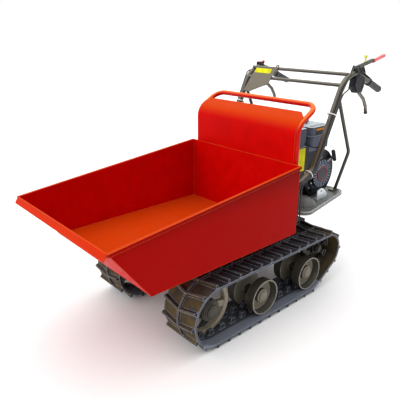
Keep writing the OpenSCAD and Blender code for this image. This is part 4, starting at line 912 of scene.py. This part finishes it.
# The rope's ends in its guide and in the handle, and a ring of points just past the guide's end
ROPE_IN, ROPE_OUT, ROPE_SEAM = -0.004, 0.006, 0.0004


class CARRIER_OT_rope(bpy.types.Operator):
    """Run the starter rope from its guide into the pull handle"""

    bl_idname = "carrier.rope"
    bl_label = "Starter rope"

    def execute(self, context):
        r = context.scene.carrier_sizes.rope / 2
        rope = bmesh.new()
        profile = ((0.0, ROPE_IN), (r, ROPE_IN), (r, 0.0), (r, ROPE_SEAM), (r, ROPE_OUT),
                   (0.0, ROPE_OUT))
        turned(rope, profile, GUIDE_END, PULL, steps=16)
        made = piece("starter_rope", rope, None, "soft_rubber")
        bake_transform(made)
        return {"FINISHED"}


# The control plate's and the bars' own frames: across, along and out from the face
PLATE_FRAME = (Matrix.Translation((0.0, 0.44854, 0.915))
               @ Matrix.Rotation(math.radians(49.574), 4, "X"))
PLATE_FACE = 0.0111
BAR_FRAME = Matrix.Translation((0.0, 0.54504, 0.96328)) @ Matrix.Rotation(BAR_FALL, 4, "X")
STRAP_FACE, STRAP_THICK = 0.0155, 0.0006
UPRIGHT = Matrix.Identity(4)
SHROUD_SIDE, TANK_SIDE = 0.1861, 0.1821
BAND_THICK = 0.0004


class CARRIER_OT_plates(bpy.types.Operator):
    """Fit the blank plates on the shroud, the tank and the control plate, and a pale strip on the
    left bar that stands in for a painted highlight
    """

    bl_idname = "carrier.plates"
    bl_label = "Blank plates"

    def execute(self, context):
        thick = context.scene.carrier_sizes.plate_thick
        panel = TANK_SIDE + thick
        # Name, finish, frame, two corners, corner radius and the axis that it's flat across
        plates = (
            ("shroud_plate", "yellow_plastic", UPRIGHT, (SHROUD_SIDE, 0.2812, 0.540),
             (SHROUD_SIDE + thick, 0.3412, 0.645), 0.003, 0),
            ("control_band", "yellow_plastic", PLATE_FRAME, (-0.234, 0.018, PLATE_FACE),
             (-0.134, 0.044, PLATE_FACE + thick), 0.003, 2),
            # A pale strip standing in for a painted highlight along the bar's top
            ("bar_highlight_strip", "white_plastic", BAR_FRAME, (0.2585, 0.026, STRAP_FACE),
             (0.2815, 0.110, STRAP_FACE + STRAP_THICK), 0.002, 2),
            ("tank_panel", "black_plastic", UPRIGHT, (TANK_SIDE, 0.416, 0.690),
             (panel, 0.500, 0.721), 0.003, 0),
            ("tank_band", "yellow_plastic", UPRIGHT, (panel, 0.418, 0.710),
             (panel + BAND_THICK, 0.498, 0.719), 0.002, 0))
        for name, slot, seat, low, high, corner, axis in plates:
            plate = bmesh.new()
            sheet_on(plate, low, high, corner, axis)
            bmesh.ops.transform(plate, matrix=seat, verts=plate.verts)
            piece(name, plate, "chassis", slot)
        return {"FINISHED"}


# Outline of a housing's lid and its screws, along the bar and out from it
LID = ((0.003, -0.059), (0.035, -0.073), (0.072, -0.0575), (0.073, -0.029), (0.064, -0.0065),
       (0.013, -0.0065), (-0.003, -0.024))
LID_THICK = 0.0022
LID_STEPS = ((0.0012, 0.0008), (0.0075, 0.0), (0.0010, -0.0012))
LID_SCREWS = ((0.020, -0.0125), (0.064, -0.034), (0.012, -0.054))
HOUSING_SIDE, SCREW_SEAT = 0.2831, 0.2860
# Radius and rise of the heads of screws and bolts
LID_SCREW, CASE_BOLT, COVER_BOLT, STARTER_SCREW = (
    (0.0032, 0.0018), (0.0052, 0.004), (0.0055, 0.004), (0.0045, 0.003))


class CARRIER_OT_housing_lids(bpy.types.Operator):
    """Fit a moulded lid with its screws on each lever housing"""

    bl_idname = "carrier.housing_lids"
    bl_label = "Housing lids"

    def execute(self, context):
        lids, screws = bmesh.new(), bmesh.new()
        for side in SIDES:
            outline = [BAR_FRAME @ Vector((side * HOUSING_SIDE, *spot)) for spot in LID]
            foot = lids.faces.new([lids.verts.new(spot) for spot in outline])
            lifted = bmesh.ops.extrude_face_region(lids, geom=[foot])["geom"]
            bmesh.ops.translate(lids, vec=(side * LID_THICK, 0, 0),
                                verts=[v for v in lifted if isinstance(v, bmesh.types.BMVert)])
            top = [f for f in lifted if isinstance(f, bmesh.types.BMFace)]
            bmesh.ops.recalc_face_normals(lids, faces=lids.faces)
            stepped(lids, top, LID_STEPS)
            for spot in LID_SCREWS:
                seat = BAR_FRAME @ Vector((side * SCREW_SEAT, *spot))
                dome(screws, seat, (side, 0, 0), *LID_SCREW)
        piece("housing_lids", lids, "chassis", "black_plastic", smooth=False)
        piece("housing_screws", screws, "chassis", "sprocket_steel")
        return {"FINISHED"}


PAN_BOX = ((0.0295, 0.390, 0.6225), (0.1815, 0.5295, 0.6521))
PAN_CORNER, PAN_WALL, PAN_MIDDLE = 0.016, 0.002, 0.63
# The pan's lower rim climbs to the front: where it starts, how far it runs and how far it rises
PAN_BEND, PAN_RUN, PAN_RISE = 0.463, 0.073, 0.0185
# The bracket's plates: two corners, corner radius and the axis that each is flat across
BRACKET_PLATES = (((0.1078, 0.392, 0.597), (0.1128, 0.5275, 0.6515), 0.004, 0),
                  ((0.1130, 0.5223, 0.601), (0.150, 0.5273, 0.6515), 0.002, 1))


class CARRIER_OT_tank_pan(bpy.types.Operator):
    """Hang the tank's pressed lower half and its bracket under it, clear of the shroud"""

    bl_idname = "carrier.tank_pan"
    bl_label = "Tank pan"

    def execute(self, context):
        pan, bracket = bmesh.new(), bmesh.new()
        sheet_on(pan, *PAN_BOX, PAN_CORNER, 2)
        ends = [f for f in pan.faces if abs(f.normal.z) > SQUARE]
        bmesh.ops.delete(pan, geom=ends, context="FACES_ONLY")
        for v in pan.verts:
            if v.co.z < PAN_MIDDLE:
                v.co.z += max(0.0, (PAN_BEND - v.co.y) / PAN_RUN * PAN_RISE)
        bmesh.ops.recalc_face_normals(pan, faces=pan.faces)
        bmesh.ops.solidify(pan, geom=list(pan.faces), thickness=PAN_WALL)
        piece("tank_pan", pan, "chassis", "engine_navy")
        for plate in BRACKET_PLATES:
            sheet_on(bracket, *plate)
        piece("tank_bracket", bracket, "chassis", "engine_black")
        return {"FINISHED"}


CASE_REAR, CASE_THICK = 0.4442, 0.005
CASE_HALF, CASE_LOW, CASE_HIGH, CASE_CORNER = 0.056, 0.130, 0.284, 0.018
CASE_STEPS = ((0.0012, 0.0008), (0.0125, 0.0), (0.002, -0.002))
CASE_BOLT_SIDE, CASE_BOLT_SEAT, CASE_BOLT_HEIGHTS = 0.0475, 0.4499, (0.138, 0.207, 0.276)
COVER_SIDE = -0.1401
COVER_BOLTS = ((0.328, 0.422), (0.487, 0.422), (0.492, 0.545), (0.408, 0.536))


class CARRIER_OT_case_trim(bpy.types.Operator):
    """Fit the lid on the rear of the gearbox and the bolts of the belt cover"""

    bl_idname = "carrier.case_trim"
    bl_label = "Gearbox lid and cover bolts"

    def execute(self, context):
        lid, bolts = bmesh.new(), bmesh.new()
        sheet_on(lid, (-CASE_HALF, CASE_REAR, CASE_LOW),
                 (CASE_HALF, CASE_REAR + CASE_THICK, CASE_HIGH), CASE_CORNER, 1)
        bmesh.ops.recalc_face_normals(lid, faces=lid.faces)
        stepped(lid, [f for f in lid.faces if f.normal.y > SQUARE], CASE_STEPS)
        for side in SIDES:
            for high in CASE_BOLT_HEIGHTS:
                seat = (side * CASE_BOLT_SIDE, CASE_BOLT_SEAT, high)
                dome(bolts, seat, (0, 1, 0), *CASE_BOLT)
        for along, high in COVER_BOLTS:
            dome(bolts, (COVER_SIDE, along, high), (-1, 0, 0), *COVER_BOLT)
        piece("gearbox_lid", lid, "chassis", "cast_case", smooth=False)
        piece("case_bolts", bolts, "chassis", "steel")
        return {"FINISHED"}


HUB_FACE = STARTER + Vector((0.20715, 0, 0))
# Radius and height of the badge and of the ring round it
BADGE = ((0.0, 0.0), (0.031, 0.0), (0.031, 0.0006), (0.024, 0.0012), (0.0, 0.0012))
TRIM_RING = ((0.0312, 0.0), (0.0362, 0.0), (0.0362, 0.0008), (0.0350, 0.0018), (0.0324, 0.0018),
             (0.0312, 0.0008), (0.0312, 0.0))
COVER_FACE, COVER_SCREWS, SCREW_CIRCLE = 0.1921, (90, 210, 330), 0.0735
OUTWARD = (1, 0, 0)


class CARRIER_OT_starter(bpy.types.Operator):
    """Fit the blank badge, the trim ring and the screws of the starter's cover"""

    bl_idname = "carrier.starter"
    bl_label = "Starter trim"

    def execute(self, context):
        disc, ring, screws = bmesh.new(), bmesh.new(), bmesh.new()
        turned(disc, BADGE, HUB_FACE, OUTWARD, steps=48)
        piece("starter_badge", disc, "chassis", "engine_black")
        turned(ring, TRIM_RING, HUB_FACE, OUTWARD, steps=48)
        piece("starter_ring", ring, "chassis", "red_plastic")
        for degrees in COVER_SCREWS:
            a = math.radians(degrees)
            away = Vector((COVER_FACE, SCREW_CIRCLE * math.cos(a), SCREW_CIRCLE * math.sin(a)))
            dome(screws, STARTER + away, OUTWARD, *STARTER_SCREW)
        piece("starter_screws", screws, "chassis", "steel")
        return {"FINISHED"}


# Name, place, aim, spread in degrees and strength of each lamp
LAMPS = (("front_light", (-0.8, -3.0, 2.2), (0, 0, 0.4), 70, 1.7),
         ("top_light", (0.3, 0.4, 4.2), (0, 0, 0.4), 90, 1.6))
SENSOR_MM = 36.0


def aim_at(thing, way):
    """Turns a lamp or camera to look along a direction."""
    thing.rotation_euler = way.to_track_quat("-Z", "Y").to_euler()


class CARRIER_OT_stage(bpy.types.Operator):
    """Set the floor, the lights and the camera"""

    bl_idname = "carrier.stage"
    bl_label = "Stage"

    def execute(self, context):
        scene, stage = context.scene, context.scene.carrier_stage
        scene.view_settings.view_transform = "Standard"
        self.lay_floor(scene, stage)
        self.set_lights(scene, stage)
        self.set_camera(scene, stage)
        return {"FINISHED"}

    def lay_floor(self, scene, stage):
        bm = bmesh.new()
        bmesh.ops.create_grid(bm, x_segments=2, y_segments=2, size=stage.floor_half)
        mesh = bpy.data.meshes.new("studio_floor")
        bm.to_mesh(mesh)
        bm.free()
        floor = bpy.data.objects.new("studio_floor", mesh)
        scene.collection.objects.link(floor)
        finish = Finish("floor_pale", specular=0.1)
        uneven = finish.web.noise(finish.at, 2.0)
        grey = finish.web.mix(uneven, tint(stage.floor_grey, 0.995), stage.floor_grey)
        finish.set(Base_Color=grey, Roughness=0.8)
        mesh.materials.append(finish.material)

    def set_lights(self, scene, stage):
        """A white sky that is weaker on the camera's side, and the lamps."""
        world = bpy.data.worlds.new("studio_world")
        world.use_nodes = True
        back = world.node_tree.nodes["Background"]
        back.inputs["Color"].default_value = (1.0, 1.0, 1.0, 1.0)
        web = Web(world.node_tree)
        way = web.node("ShaderNodeTexCoord").outputs["Generated"]
        beyond = (-math.sin(stage.camera_turn), math.cos(stage.camera_turn), 0.0)
        far = web.vector("DOT_PRODUCT", way, beyond)["Value"]
        glow = web.span(far, -0.3, 0.5, stage.near_sky, stage.sky)
        seen = web.node("ShaderNodeLightPath").outputs["Is Camera Ray"]
        web.feed(back.inputs["Strength"], web.math("MAXIMUM", glow, seen))
        scene.world = world
        for name, at, aim, spread, power in LAMPS:
            lamp = bpy.data.lights.new(name, "SUN")
            lamp.angle, lamp.energy = math.radians(spread), power
            light = bpy.data.objects.new(name, lamp)
            light.location = at
            aim_at(light, Vector(aim) - Vector(at))
            scene.collection.objects.link(light)

    def set_camera(self, scene, stage):
        lens = bpy.data.cameras.new("photo_camera")
        lens.lens, lens.sensor_width = stage.lens, SENSOR_MM
        camera = bpy.data.objects.new("photo_camera", lens)
        a, e = stage.camera_turn, stage.camera_fall
        look = Vector((-math.sin(a) * math.cos(e), math.cos(a) * math.cos(e), -math.sin(e)))
        camera.location = stage.camera_at
        aim_at(camera, look)
        scene.collection.objects.link(camera)
        scene.camera = camera


STEPS = ("skip", "welds", "tracks", "wheels", "chassis", "engine", "handlebars", "grips", "rope",
         "plates", "housing_lids", "tank_pan", "case_trim", "starter", "stage")


class CARRIER_PT_panel(bpy.types.Panel):
    """Lists the carrier's steps in the sidebar"""

    bl_idname = "CARRIER_PT_panel"
    bl_label = "Carrier"
    bl_space_type = "VIEW_3D"
    bl_region_type = "UI"
    bl_category = "Carrier"

    def draw(self, context):
        for step in STEPS:
            self.layout.operator("carrier." + step)


GROUPS = {"carrier_colours": CarrierColours, "carrier_wear": CarrierWear,
          "carrier_sizes": CarrierSizes, "carrier_stage": CarrierStage}
CLASSES = (*GROUPS.values(), CARRIER_OT_skip, CARRIER_OT_welds, CARRIER_OT_tracks,
           CARRIER_OT_wheels, CARRIER_OT_chassis, CARRIER_OT_engine, CARRIER_OT_handlebars,
           CARRIER_OT_grips, CARRIER_OT_rope, CARRIER_OT_plates, CARRIER_OT_housing_lids,
           CARRIER_OT_tank_pan, CARRIER_OT_case_trim, CARRIER_OT_starter, CARRIER_OT_stage,
           CARRIER_PT_panel)


def register():
    for cls in CLASSES:
        bpy.utils.register_class(cls)
    for name, cls in GROUPS.items():
        setattr(bpy.types.Scene, name, bpy.props.PointerProperty(type=cls))


def unregister():
    for name in GROUPS:
        delattr(bpy.types.Scene, name)
    for cls in reversed(CLASSES):
        bpy.utils.unregister_class(cls)


def main():
    register()
    for step in STEPS:
        getattr(bpy.ops.carrier, step)()
    bpy.context.view_layer.update()


if __name__ == "__main__":
    main()
